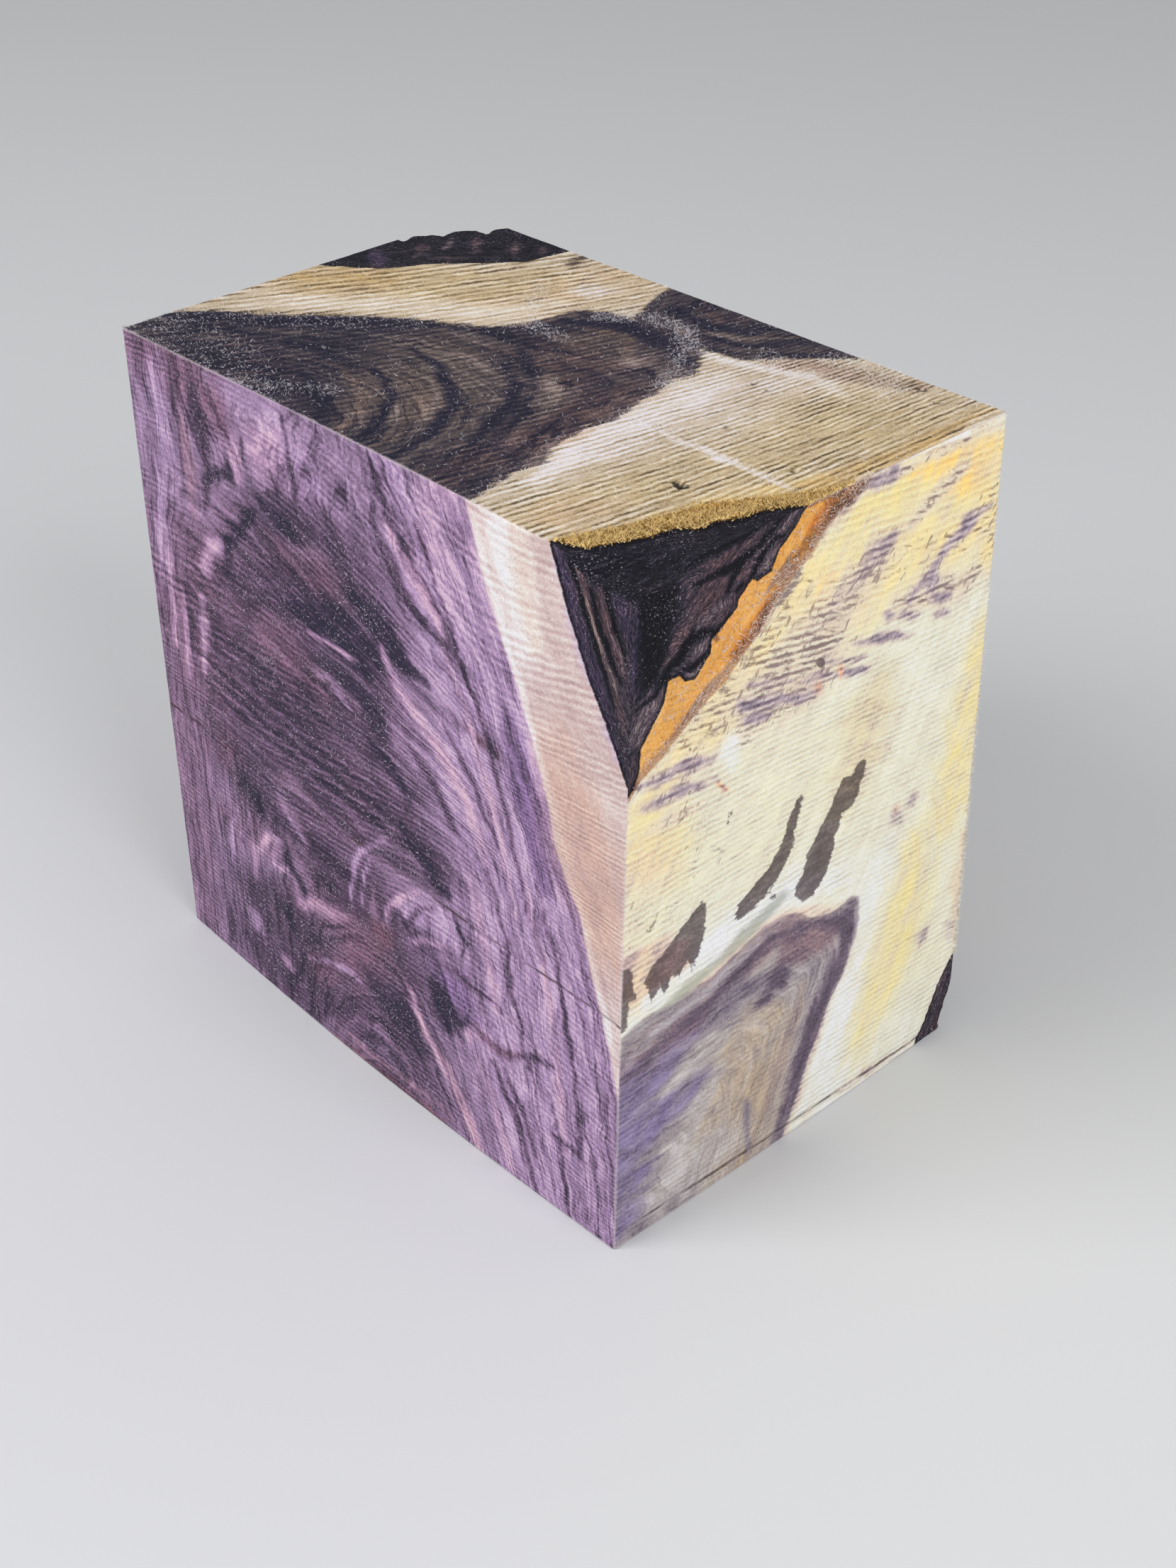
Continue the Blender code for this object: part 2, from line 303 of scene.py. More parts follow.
FIGURE["front"] = (
    ("lilac", 50, ((-84, 206), (-66, 176), (-46, 130), (-32, 90), (-24, 50), (-14, 0))),
    ("lilac", 44, ((-44, 84), (-34, 50), (-36, 18), (-40, -4))),
    ("pink", 22, ((-66, 206), (-58, 186), (-50, 168))),
    ("lilac", 26, ((-60, 196), (-46, 160), (-34, 128), (-24, 100), (-14, 74))),
    ("lilac", 16, ((-146, 198), (-124, 188), (-108, 182))),
    ("pink", 16, ((-140, 192), (-132, 180))),
    ("plum", 20, ((-198, 201), (-170, 198), (-156, 192))),
    ("mauve", 22, ((-190, 150), (-192, 60), (-190, 0))),
    ("lilac", 15, ((-184, 196), (-184, 176), (-186, 158))),
    ("lilac", 8, ((-188, 160), (-190, 130))),
    ("dusk", 2.5, ((-176.5, 198), (-176, 180), (-175, 162))),
    ("tan", 5, ((-173, 186), (-172, 156))),
    ("dusk", 7, ((-167, 194), (-165, 182), (-163, 174))),
    ("black", 4, ((-152.5, 181), (-153, 175), (-160, 173), (-165, 169), (-166, 160))),
    ("pink", 6, ((-148, 187), (-148, 174))),
    ("dusk", 2, ((-145, 189), (-145, 179))),
    ("dusk", 2.5, ((-127, 201), (-124, 186), (-121.5, 168))),
    ("plum", 34, ((-172, 142), (-168, 112), (-166, 88))),
    ("dusk", 18, ((-166, 128), (-160, 104))),
    ("plum", 70, ((-152, 142), (-130, 118), (-112, 92))),
    ("dusk", 48, ((-152, 146), (-124, 148), (-100, 142))),
    ("dusk", 26, ((-120, 172), (-104, 164), (-88, 156))),
    ("dusk", 34, ((-98, 72), (-88, 52), (-84, 30))),
    ("plum", 40, ((-118, 70), (-112, 44), (-110, 20))),
    ("dusk", 50, ((-156, 118), (-124, 112), (-98, 118))),
    ("dusk", 36, ((-164, 96), (-134, 90), (-104, 92))),
    ("dusk", 24, ((-136, 72), (-120, 66), (-104, 72))),
    ("black", 8, ((-140, 172), (-128, 168), (-118, 164))),
    ("black", 5, ((-142, 169), (-150, 160), (-156, 154), (-159, 144))),
    ("black", 9, ((-134, 156), (-118, 154), (-104, 148), (-92, 144))),
    ("black", 7, ((-128, 146), (-112, 143), (-97, 138))),
    ("plum", 12, ((-136, 160), (-120, 160), (-106, 158))),
    ("mauve", 4, ((-126, 164.5), (-114, 164), (-102, 161))),
    ("pink", 1.6, ((-124, 141.5), (-110, 141), (-100, 139.5))),
    ("pink", 6, ((-160, 152), (-165, 149), (-170, 141))),
    ("mauve", 5, ((-123, 129), (-114, 131), (-104, 128))),
    ("lilac", 1.6, ((-123, 126), (-114, 130), (-104, 130))),
    ("lilac", 1.6, ((-118, 124), (-110, 127), (-103, 124))),
    ("plum", 16, ((-150, 132), (-130, 130), (-118, 124))),
    ("black", 6, ((-118, 134), (-106, 133), (-94, 128))),
    ("black", 5, ((-96, 118), (-86, 113), (-80, 107))),
    ("pink", 3, ((-188, 146), (-189, 108))),
    ("pink", 4, ((-172, 132), (-175, 104))),
    ("pink", 3, ((-182, 128), (-184, 100))),
    ("dusk", 3, ((-179, 140), (-181, 106))),
    ("dusk", 4.5, ((-92.5, 200), (-81, 184), (-70, 172), (-61, 163), (-54, 151))),
    ("dusk", 3.5, ((-91, 184), (-79, 169), (-71, 163))),
    ("pink", 4, ((-86, 186), (-74, 174), (-66, 166))),
    ("black", 11, ((-100, 160), (-88, 154), (-80, 148))),
    ("black", 4, ((-98, 147.6), (-84, 147.5), (-72, 146.6))),
    ("pink", 3.5, ((-89, 150), (-86, 144))),
    ("pink", 4.5, ((-84, 141), (-67, 129), (-56, 118), (-48.6, 102))),
    ("dusk", 2.2, ((-64.5, 136), (-52.6, 124), (-44.6, 110))),
    ("dusk", 3, ((-80, 124.5), (-69, 117), (-61, 107))),
    ("black", 10, ((-98, 132), (-90, 124))),
    ("mauvish", 9, ((-40, 150), (-33, 128), (-27, 106))),
    ("brown", 2, ((-56, 141), (-44, 138))),
    ("pink", 3, ((-76, 103), (-83, 98), (-90, 90), (-95, 84))),
    ("brown", 2.5, ((-80, 101), (-88, 93))),
    ("dusk", 22, ((-100, 100), (-82, 94), (-66, 91))),
    ("black", 6, ((-84, 97), (-72, 89), (-64, 85))),
    ("mauve", 5, ((-147, 82.5), (-136, 85.5), (-124, 84.5))),
    ("dusk", 22, ((-164, 78), (-152, 70), (-146, 80))),
    ("black", 5, ((-158, 74), (-150, 67))),
    ("plum", 12, ((-172, 74), (-166, 84))),
    ("mauve", 6, ((-141, 77), (-134, 72), (-128, 68))),
    ("lilac", 1.8, ((-139, 74), (-133, 70.5), (-128, 66))),
    ("mauve", 4, ((-138, 63), (-131, 57), (-127, 53))),
    ("dusk", 24, ((-118, 72), (-108, 60))),
    ("mauve", 16, ((-174, 55), (-160, 57), (-146, 57))),
    ("pink", 2.6, ((-158, 40), (-155, 50), (-150, 58), (-143, 61))),
    ("lilac", 2, ((-164, 44), (-162, 54), (-158, 62))),
    ("lilac", 2, ((-171, 38), (-169, 52), (-166, 62))),
    ("pink", 3, ((-146, 50), (-137, 52))),
    ("black", 4, ((-140, 58), (-134, 50), (-130, 44))),
    ("peach", 4.5, ((-135, 42), (-130, 45.5), (-119, 47), (-111, 51))),
    ("dusk", 20, ((-166, 34), (-150, 32), (-140, 28))),
    ("dusk", 30, ((-168, 12), (-136, 12), (-114, 20))),
    ("dusk", 14, ((-146, 40), (-132, 34), (-118, 38))),
    ("black", 5, ((-146, 38), (-138, 30))),
    ("lilac", 7, ((-163, 23), (-158, 19))),
    ("pink", 3, ((-147, 16), (-141, 13))),
    ("plum", 12, ((-130, 20), (-118, 30))),
    ("lilac", 2, ((-131, 23), (-124, 28), (-114, 31), (-104, 30))),
    ("lilac", 1.7, ((-94, 86), (-101, 80), (-106, 73), (-108, 64), (-108, 56))),
    ("lilac", 1.4, ((-98, 78), (-102, 70), (-103, 61))),
    ("mauve", 2.6, ((-97, 68), (-98, 60), (-96, 54))),
    ("brown", 10, ((-97, 50), (-92, 56))),
    ("dusk", 30, ((-112, 12), (-92, 14), (-76, 6))),
    ("black", 12, ((-98, 32), (-84, 30), (-78, 24))),
    ("grey", 12, ((-108, 11), (-97, 14), (-84, 10))),
    ("dusk", 2, ((-128, 2), (-119, 13), (-107, 20), (-95, 21.5), (-82, 17), (-74, 8))),
    ("mauve", 1.6, ((-121, 5), (-110, 14.5), (-97, 18), (-85, 14), (-78, 6))),
    ("dusk", 1.6, ((-115, 5), (-105, 12), (-96, 14), (-87, 10), (-83, 5))),
    ("tan", 2.5, ((-122, 5.5), (-98, 5.5), (-64, 5))),
    ("brown", 4, ((-120, 0.5), (-70, 0.5))),
    ("peach", 4.5, ((-82, 40), (-75, 28), (-67, 22), (-60, 12), (-52, -1))),
    ("lilac", 9, ((-84, 68), (-72, 74), (-60, 70))),
    ("pink", 1.7, ((-76.5, 79.5), (-85, 71.5), (-91, 65), (-94, 57))),
    ("pink", 1.5, ((-66, 67), (-76, 63), (-84, 56))),
    ("dusk", 1.6, ((-70, 78), (-79, 71), (-86, 62))),
    ("black", 2.5, ((-62, 78), (-56.5, 71.5))),
    ("dusk", 1.8, ((-43.3, 77.5), (-39.3, 63.5), (-35, 54))),
    ("dusk", 2, ((-67, 59.5), (-55, 59), (-43, 57.5))),
    ("mauvish", 16, ((-70, 54), (-58, 48))),
    ("black", 10, ((-72, 50), (-66, 42), (-58, 44))),
    ("plum", 3.0, ((-56, 44.5), (-48, 43), (-40, 43.6), (-35, 47.5))),
    ("dusk", 1.8, ((-37, 46), (-33, 49), (-27, 50.5), (-20, 51.8))),
    ("pink", 5, ((-60, 41), (-54, 42))),
    ("dusk", 1.8, ((-74, 190), (-60, 164), (-48, 140), (-40, 118), (-33, 96))),
    ("pink", 2.4, ((-78, 186), (-64, 160), (-52, 138), (-44, 116), (-38, 92))),
    ("dusk", 1.6, ((-50, 106), (-42, 84), (-38, 62), (-33, 44))),
    ("pink", 3, ((-56, 96), (-50, 76), (-45, 56))),
    ("dusk", 1.6, ((-30, 108), (-22, 84), (-16, 56), (-12, 20))),
    ("pink", 2.6, ((-34, 104), (-27, 80), (-22, 52), (-18, 16))),
    ("dusk", 1.4, ((-24, 40), (-20, 20), (-16, -4))),
    ("dusk", 2, ((-47, 37), (-39, 25.7), (-28.7, -2))),
    ("dusk", 2.5, ((-42.6, 38), (-36, 27), (-31, 15))),
    ("pink", 3, ((-54, 34), (-46, 20), (-38, 0))),
    ("dusk", 1.8, ((-25, 27), (-18, 26), (-11, 25.2))),
    ("white", 15, ((-46, 206), (-41, 190), (-36, 174))),
    ("cream", 7, ((-38, 206), (-35, 192), (-31, 174))),
    ("white", 2.8, ((-52, 200), (-46, 184), (-38, 165), (-31, 149), (-26, 135), (-21, 123), (-15, 110),
                    (-8, 90), (-2, 70))),
    ("tan", 22, ((-22, 150), (-12, 120), (-4, 98))),
    ("dust", 6, ((-23, 203), (-16, 187), (-8, 171), (-2, 158))),
    ("rind", 5, ((-18, 202), (-13, 193), (-8, 184))),
    ("rind", 5, ((-10, 202), (-6, 190), (-1, 180))),
    ("dust", 6, ((-4, 203), (-2, 197), (0, 190))),
    ("coal", 1.8, ((-20, 204), (-14, 191), (-9, 181), (-4, 170))),
    ("coal", 1.8, ((-12.5, 197), (-8, 187), (-2, 177))),
    ("coal", 1.3, ((-8, 202), (-4.5, 191), (0, 183))),
    ("ember", 1.3, ((-14, 195), (-11, 189), (-8, 183), (-4, 176), (-1, 170))),
    ("rind", 2.4, ((-4, 174), (-1, 166))),
    ("ash", 1.2, ((-6, 191), (-3.5, 186), (-1, 182))))
FIGURE["right"] = (
    ("lemon", 90, ((50, 140), (90, 130), (124, 110))),
    ("yellow", 46, ((60, 182), (98, 184), (134, 182))),
    ("freckled", 26, ((62, 172), (92, 168), (130, 172))),
    ("yellow", 14, ((78, 193), (100, 198), (118, 196))),
    ("yellow", 12, ((76, 172), (88, 164), (98, 168))),
    ("orange", 11.5, ((102, 197), (118, 195), (134, 194))),
    ("orange", 9, ((112, 188), (134, 187))),
    ("orange", 7, ((64, 175), (70, 180))),
    ("freckled", 14, ((134, 192), (135, 176), (135, 158))),
    ("cream", 20, ((96, 152), (130, 150))),
    ("cream", 44, ((66, 140), (96, 136), (124, 128))),
    ("specked", 20, ((30, 122), (52, 108), (68, 124))),
    ("specked", 44, ((10, 132), (34, 128), (56, 136))),
    ("mottled", 26, ((4, 144), (26, 150), (48, 156), (70, 158))),
    ("freckled", 16, ((14, 150), (34, 162), (52, 176), (60, 184))),
    ("lemon", 22, ((28, 140), (52, 128), (84, 132))),
    ("yellow", 24, ((8, 140), (12, 110))),
    ("straw", 20, ((92, 142), (84, 112))),
    ("lemon", 16, ((52, 142), (44, 112))),
    ("mottled", 9, ((96, 162), (112, 160), (130, 158))),
    ("white", 7, ((35, 150), (37, 141))),
    ("mottled", 16, ((34, 160), (50, 157), (68, 153))),
    ("blotted", 4, ((37.5, 159), (40, 156), (46, 154.8), (53, 152.6), (60, 150))),
    ("slate", 2, ((38, 158.4), (42, 155.8), (47, 154.6))),
    ("blotted", 2.4, ((40, 161.6), (47, 160), (53, 158), (58, 156.6))),
    ("blotted", 3.4, ((61, 154.8), (66, 153.2), (71, 152))),
    ("blotted", 3, ((55, 152), (61, 149.6), (68, 148.4))),
    ("blotted", 2.6, ((40, 152.4), (46, 150.4), (50, 149.6))),
    ("slate", 1.6, ((68, 157), (74, 155), (80, 153.2), (86, 151.6))),
    ("slate", 1.4, ((76, 151), (81, 149.4), (85, 148))),
    ("blotted", 3.5, ((4, 150), (14, 149), (30, 146))),
    ("blotted", 3.5, ((6, 143), (20, 141), (32, 139))),
    ("mottled", 4, ((8, 136), (26, 133))),
    ("blotted", 2.8, ((80, 158), (90, 155), (104, 151))),
    ("blotted", 2.5, ((72, 151), (86, 148))),
    ("blotted", 3, ((91, 160.5), (95, 158.8))),
    ("blotted", 3, ((98, 158), (106, 155.6))),
    ("blotted", 3, ((110, 158.3), (118, 156.5))),
    ("blotted", 2.4, ((112, 152.2), (120, 151))),
    ("dusk", 1.6, ((66.5, 162), (69, 158.5), (69.8, 156))),
    ("rust", 1.8, ((74.5, 154), (75, 150))),
    ("rust", 1.6, ((67, 151.6), (67.4, 148))),
    ("rust", 1.6, ((32, 138), (35, 133))),
    ("blotted", 7, ((62, 168), (74, 172), (84, 178), (92, 182))),
    ("blotted", 9, ((82, 179), (91, 182.5))),
    ("mottled", 22, ((54, 164), (70, 168), (84, 174))),
    ("mottled", 6, ((96, 183), (110, 189), (120, 193))),
    ("blotted", 3.5, ((101, 161.5), (110, 167.5), (118, 173), (127, 177), (134, 178))),
    ("blotted", 5, ((121, 177.5), (125, 174.5))),
    ("blotted", 5, ((109, 166), (111, 160))),
    ("blotted", 4.5, ((78, 200.6), (88, 201), (96, 200.4))),
    ("mottled", 4, ((94, 200.6), (116, 200.6), (136, 200.2))),
    ("white", 2.4, ((76, 204), (134, 203.2))),
    ("white", 34, ((102, 78), (98, 50), (88, 20), (82, -4))),
    ("white", 12, ((14, 83), (40, 88), (60, 90), (84, 84))),
    ("specked", 30, ((116, 60), (126, 40), (130, 24))),
    ("lemon", 34, ((128, 112), (124, 70), (112, 40), (100, 12))),
    ("yellow", 16, ((130, 110), (128, 80))),
    ("yellow", 14, ((134, 140), (135, 100))),
    ("yellow", 20, ((114, 80), (112, 60), (106, 36), (96, 18))),
    ("grey", 7, ((103, 96), (105, 91))),
    ("brown", 2.5, ((103.5, 97.5), (104.5, 96))),
    ("grey", 5, ((109, 96), (113, 97))),
    ("grey", 6, ((120, 44), (124, 42))),
    ("tan", 6, ((136, 72), (138, 50), (138, 34))),
    ("grey", 3, ((132, 42), (138, 38))),
    ("grey", 3, ((133, 37), (139, 34))),
    ("dusk", 5, ((99, 4), (104, 4))),
    ("russet", 7, ((133, -6), (139, 8), (148, 24))),
    ("ember", 3, ((130, 16), (134, 24))),
    ("grey", 1.8, ((70, 3.8), (98, 3.2), (122, 2.6))),
    ("tan", 20, ((8, 128), (6, 106))),
    ("specked", 16, ((2, 116), (14, 106), (26, 108))),
    ("white", 5, ((6, 82), (20, 86), (38, 88))),
    ("plum", 11, ((0, 98), (10, 95), (22, 93))),
    ("plum", 9, ((0, 90), (10, 90), (22, 88))),
    ("tan", 8, ((6, 84), (10, 100))),
    ("cream", 34, ((52, 52), (44, 30), (36, 8))),
    ("fawn", 26, ((60, 44), (52, 20), (46, -4))),
    ("fawn", 16, ((50, 60), (40, 36), (32, 20))),
    ("amethyst", 11, ((-18, 62), (4, 60), (16, 61), (44, 68))),
    ("amethyst", 11, ((-18, 52), (4, 51), (21, 56))),
    ("amethyst", 11, ((-18, 41), (8, 40), (33, 43))),
    ("amethyst", 11, ((-18, 31), (4, 32), (17, 37))),
    ("amethyst", 11, ((-14, 20), (2, 20), (12, 24))),
    ("amethyst", 11, ((-14, 8), (0, 8), (10, 12))),
    ("plum", 14, ((2, 64), (24, 67), (44, 74), (58, 77), (72, 70), (82, 66))),
    ("dusk", 9, ((66, 74), (78, 70), (86, 69), (87, 62), (84, 54), (77, 40), (71, 26), (66, 10),
                 (62, -4))),
    ("lilac", 3.5, ((4, 66), (14, 70.5), (30, 73), (46, 79), (58, 80.5))),
    ("dusk", 3, ((4, 60), (14, 65), (32, 69), (44, 74), (56, 77.5), (70, 74))),
    ("dusk", 3.5, ((89, 70), (86, 58), (79, 45), (72, 28), (67, 12))),
    ("plum", 9, ((60, 69), (72, 68), (80, 66))),
    ("cream", 9, ((18, 48), (28, 54), (42, 64), (56, 71))),
    ("grey", 9, ((30, 60), (44, 66), (56, 64))),
    ("cream", 14, ((14, 12), (30, 14), (46, 12))),
    ("cream", 9, ((14, 24), (26, 28), (38, 44))),
    ("dusk", 6, ((52, 58), (58, 62), (62, 58))),
    ("tan", 6, ((70, 54), (64, 36), (58, 20))),
    ("grey", 2.5, ((48.5, 24), (49.5, 12), (50, 4))),
    ("violet", 1.8, ((0, 25.7), (16, 25.7))),
    ("violet", 1.8, ((0, 15.5), (16, 17))),
    ("flame", 10, ((6, 155), (12, 160), (18, 168))),
    ("fibrous", 3.2, ((14, 157.6), (27, 165.6), (38, 172))),
    ("fibrous", 7, ((38, 173.4), (48, 183.4), (58, 191.4), (70, 199))),
    ("umber", 8, ((62, 196), (70, 200), (82, 203))),
    ("umber", 4, ((36, 172), (44, 178), (50, 184))),
    ("coal", 3.6, ((56, 190), (60, 192.5), (63, 195))),
    ("coal", 2, ((60, 202.4), (70, 203), (79, 203.6))),
    ("coal", 13, ((8, 205), (9, 186), (8, 172))),
    ("rind", 16, ((20, 184), (32, 193), (44, 202))),
    ("rind", 9, ((15, 180), (22, 187), (30, 190))),
    ("dust", 5, ((1.5, 202), (1.5, 188), (3, 176))),
    ("ash", 8, ((4, 163), (8, 169), (13, 173))),
    ("coal", 4, ((-2, 204.5), (24, 203.5), (44, 204))),
    ("coal", 1.8, ((4, 171), (10, 172), (14, 177), (18, 180), (22, 184), (30, 187.4), (38, 190.4))),
    ("coal", 1.8, ((22, 196), (33, 196), (41, 197.4), (46, 200), (52, 204))),
    ("coal", 1.5, ((33, 190), (35, 194), (39, 197))),
    ("coal", 2, ((17, 176), (19, 180.4), (23, 182.6), (28, 182), (29.6, 179))),
    ("ash", 4.4, ((20.6, 177.4), (24, 178.8), (27, 179))),
    ("coal", 1.2, ((18, 175.8), (21, 174.4), (25, 175.6), (27.6, 178))),
    ("ash", 1.3, ((18.6, 173.8), (21.4, 172.6), (25, 174))),
    ("ash", 2.6, ((23, 184.6), (30, 187), (35, 189))),
    ("coal", 1.6, ((40.6, 191), (43.4, 194.6), (48, 198), (51.6, 198))),
    ("ash", 3, ((43.6, 191.8), (46.8, 194), (49, 195.8))),
    ("ash", 2.6, ((50, 199), (53.6, 201.6), (57, 204))))
FIGURE["left"] = (
    ("plum", 50, ((20, 120), (60, 90), (100, 60))),
    ("dusk", 22, ((10, 170), (40, 130), (80, 100), (120, 60))),
    ("lilac", 16, ((4, 150), (30, 110), (70, 70), (110, 30))),
    ("pink", 8, ((8, 60), (30, 40), (60, 20))),
    ("dusk", 14, ((60, 50), (90, 20), (110, 0))),
    ("lilac", 10, ((130, 70), (132, 30))),
    ("white", 8, ((28, 203), (66, 168), (104, 130), (136, 98))),
    ("tan", 14, ((52, 200), (90, 170), (124, 140))))
FIGURE["back"] = (
    ("dusk", 26, ((-90, 200), (-112, 150), (-150, 90), (-190, 50))),
    ("black", 10, ((-100, 190), (-124, 140), (-160, 84))),
    ("lilac", 14, ((-66, 200), (-92, 140), (-124, 70), (-140, 10))),
    ("plum", 16, ((-190, 20), (-150, 30), (-130, 60))),
    ("white", 12, ((-40, 200), (-54, 160), (-78, 100), (-98, 30))),
    ("yellow", 34, ((-20, 180), (-30, 120), (-60, 50))),
    ("tan", 16, ((-6, 150), (-10, 90))),
    ("yellow", 16, ((-140, 196), (-168, 150), (-196, 118))))
FIGURE["base"] = (
    ("dusk", 34, ((-180, 20), (-140, 40), (-90, 40), (-40, 20))),
    ("black", 12, ((-170, 60), (-130, 70), (-90, 60))),
    ("lilac", 14, ((-190, 100), (-150, 110), (-120, 120))),
    ("plum", 14, ((-60, 70), (-20, 46), (0, 30))),
    ("white", 10, ((0, 74), (-34, 94), (-74, 114), (-104, 134))),
    ("yellow", 20, ((-6, 96), (-40, 116), (-70, 132))))

# Shade of the plain wood on each face, where nothing is drawn
HEART_SHADE = {"top": -0.45, "front": -0.12, "right": 0.05, "left": -0.1, "back": -0.4, "base": -0.1}

SAP_SHADE = {"top": 0.1, "front": 0.22, "right": 0.45, "left": 0.2, "back": 0.1, "base": 0.2}

BARK_SHADE = {"top": -0.3, "front": 0.2, "right": 0.18, "left": 0.2, "back": 0.1, "base": 0.2}

# Smears of dark sap on the right face, with sharp ragged edges, and small holes in the top, painted near
# black as painted shade inside them
SMEARS_AND_HOLES = {
    "right": (
        ((64.5, 120), (62.6, 112), (61.6, 104), (59, 100), (54, 95.5), (49, 92.4), (42.5, 91), (40, 92.5),
         (42, 96.5), (46.5, 99.6), (52, 102.6), (56.4, 107), (59.4, 115), (62, 119.5)),
        ((89, 120), (88.6, 115), (86.6, 109), (84, 106), (80.5, 105.4), (78.4, 100), (77.6, 94), (75.4, 88),
         (71, 83.6), (66, 84.6), (63, 89), (66, 93.4), (67.6, 99), (70, 103), (74, 108), (77.6, 114.6),
         (80, 118), (83.4, 117), (85.4, 119.4)),
        ((30, 103), (29.6, 95), (28, 88), (25.6, 83.6), (23.4, 88), (21, 83), (18.6, 87), (16, 80.6),
         (14, 86), (11.4, 80), (10, 86), (8, 89), (12, 94), (15, 94.6), (19, 98), (24, 102), (28, 104.4)),
        ((5, 92), (6.4, 84), (3.6, 86), (2.6, 78), (-2, 76), (-3, 92), (1, 97), (4, 96)),
        ((12, 109), (11, 105.4), (9.4, 104), (10.4, 108)),
        ((38, 127.6), (37.4, 124.8), (36, 124), (36.6, 127.4)),
        ((54.6, 93.4), (56.4, 92), (55.2, 90.4), (53.2, 92)),
        ((66, 158.6), (68.4, 159), (69, 156), (67, 155.4))),
    "top": (
        ((-29.6, 44.4), (-28, 46.2), (-26.4, 45.4), (-24.8, 46.4), (-23.6, 44.8), (-24.8, 43),
         (-27.2, 43.8)),
        ((-56, 101.6), (-54.6, 102), (-54.4, 100.6), (-55.8, 100.4)),
        ((-50.6, 101.2), (-49.4, 101.6), (-49.2, 100.2), (-50.4, 100)),
        ((-42, 76.6), (-40.6, 77), (-40.4, 75.4), (-41.8, 75.4)),
        ((-14, 70.4), (-12.4, 70.6), (-12.2, 69), (-13.8, 68.8)),
        ((-24.6, 130.2), (-22, 131.4), (-21.2, 130.4), (-23.4, 129.4)),
        ((-17, 126.6), (-14, 127.6), (-13.6, 126.6), (-15.8, 125.8))),
}

# The seam or check that crosses each face, read off as a line from one side of the face to the other
SEAM = {
    "front": ((-205, 83), (-184, 82.8), (-160, 82), (-136, 81.5), (-119, 80.4), (-99, 81), (-62, 79.6),
              (-42, 79.1), (-19.4, 79.5), (5, 78.6)),
    "right": ((-5, 5.4), (30, 4.8), (70, 4), (98, 3.2), (145, 2.4)),
}

# Lines that the saw's teeth left on each face, and the count of each in millimetres across the marks
SAW_MARKS = {
    "top": (
        (0, ((20, -15), (24, 136))),
        (-50, ((-20, -15), (-12, 136))),
        (-96, ((-60, -15), (-40, 136))),
        (-139, ((-100, -15), (-66, 136))),
        (-186, ((-150, -15), (-101, 136))),
        (-225, ((-200, -15), (-137, 136))),
        (-263, ((-250, -15), (-182, 136)))),
    "front": (
        (5, ((-202, 5), (-100, 6), (4, 3))),
        (35, ((-202, 36), (-97, 37), (-40, 35), (0, 28))),
        (60, ((-202, 60), (-100, 61), (0, 57))),
        (81, ((-202, 82), (-100, 81), (0, 79))),
        (104, ((-202, 96), (-150, 98), (-100, 107), (-60, 108), (0, 100))),
        (130, ((-202, 129), (-150, 132), (-100, 130), (-60, 124), (0, 119))),
        (158, ((-202, 164), (-150, 164), (-110, 156), (-80, 148), (-50, 140), (0, 144))),
        (190, ((-202, 194), (-100, 190), (0, 184)))),
    "right": (
        (0, ((0, 0), (140, -5))),
        (60, ((0, 61), (70, 62), (140, 57))),
        (120, ((0, 123), (70, 122), (140, 116))),
        (160, ((0, 168), (30, 164), (70, 157), (110, 154), (140, 154))),
        (200, ((0, 208), (70, 202), (140, 196)))),
    "left": (
        (0, ((0, 0), (140, 6))),
        (100, ((0, 100), (70, 106), (140, 104))),
        (200, ((0, 200), (140, 206)))),
    "back": (
        (0, ((0, 0), (-200, 10))),
        (100, ((0, 100), (-100, 108), (-200, 110))),
        (200, ((0, 200), (-200, 204)))),
    "base": (
        (0, ((0, 0), (-200, 16))),
        (70, ((0, 68), (-100, 76), (-200, 82))),
        (136, ((0, 134), (-200, 150)))),
}

SAW_PITCH = {"top": 3.0, "front": 1.8, "right": 1.9, "left": 2.3, "back": 2.6, "base": 3.2}

# Where the saw dragged the figure out along its own marks, instead of cutting it clean along the rings
DRAGGED = {
    "front": ((-178, 168), (-150, 174), (-115, 172), (-88, 168), (-66, 152), (-58, 130), (-50, 105),
              (-60, 88), (-95, 60), (-130, 62), (-160, 84), (-182, 104), (-184, 140)),
    "left": ((30, 120), (70, 110), (110, 60), (90, 30), (50, 60)),
    "back": ((-130, 130), (-90, 120), (-100, 60), (-150, 50)),
}

# Greenish mildew above the tongue of heartwood on the right face
MILDEW = {
    "right": ((12, 77), (22, 81), (34, 83), (44, 88), (58, 92.6), (63, 90), (56, 86), (46, 82), (34, 79),
              (22, 76)),
}

# How far apart the noise of one seed lies from that of the next, and what counts as no length at all
SEED_STEP = 37.0
TINY = 1e-9

# How far the rings may miss the lines drawn for them, for the sake of smoothness
RING_EASE = 60.0

# How nearly straight along an axis an edge or a normal runs to be taken as along it, and the shortest
# edge that is still split near the bark, as a share of a cell
MOSTLY = 0.9
SHORTEST_SPLIT = 0.3

# Noise that pushes the drawn lines about: the sizes of its lumps, and how far each drawn thing follows it
WANDER_SIZE = 9.0
FINE_WANDER_SIZE = 3.5
HEART_FOLLOWS = 0.5
BARK_FOLLOWS = 0.2
CAMBIUM_FOLLOWS = 0.4
SEAM_FOLLOWS = 0.15
STROKES_FOLLOW = 1.3
BARK_STROKES_FOLLOW = 0.3
FAR_OFF = -50.0
DRAG_EDGE = 9.0

# Streaks that fray the strokes: how close they lie across the rings or the saw marks and along them
STREAK_ACROSS = 0.45
STREAK_ALONG_RINGS = 0.045
STREAK_ALONG_MARKS = 0.06
FINER_STREAK = 2.3

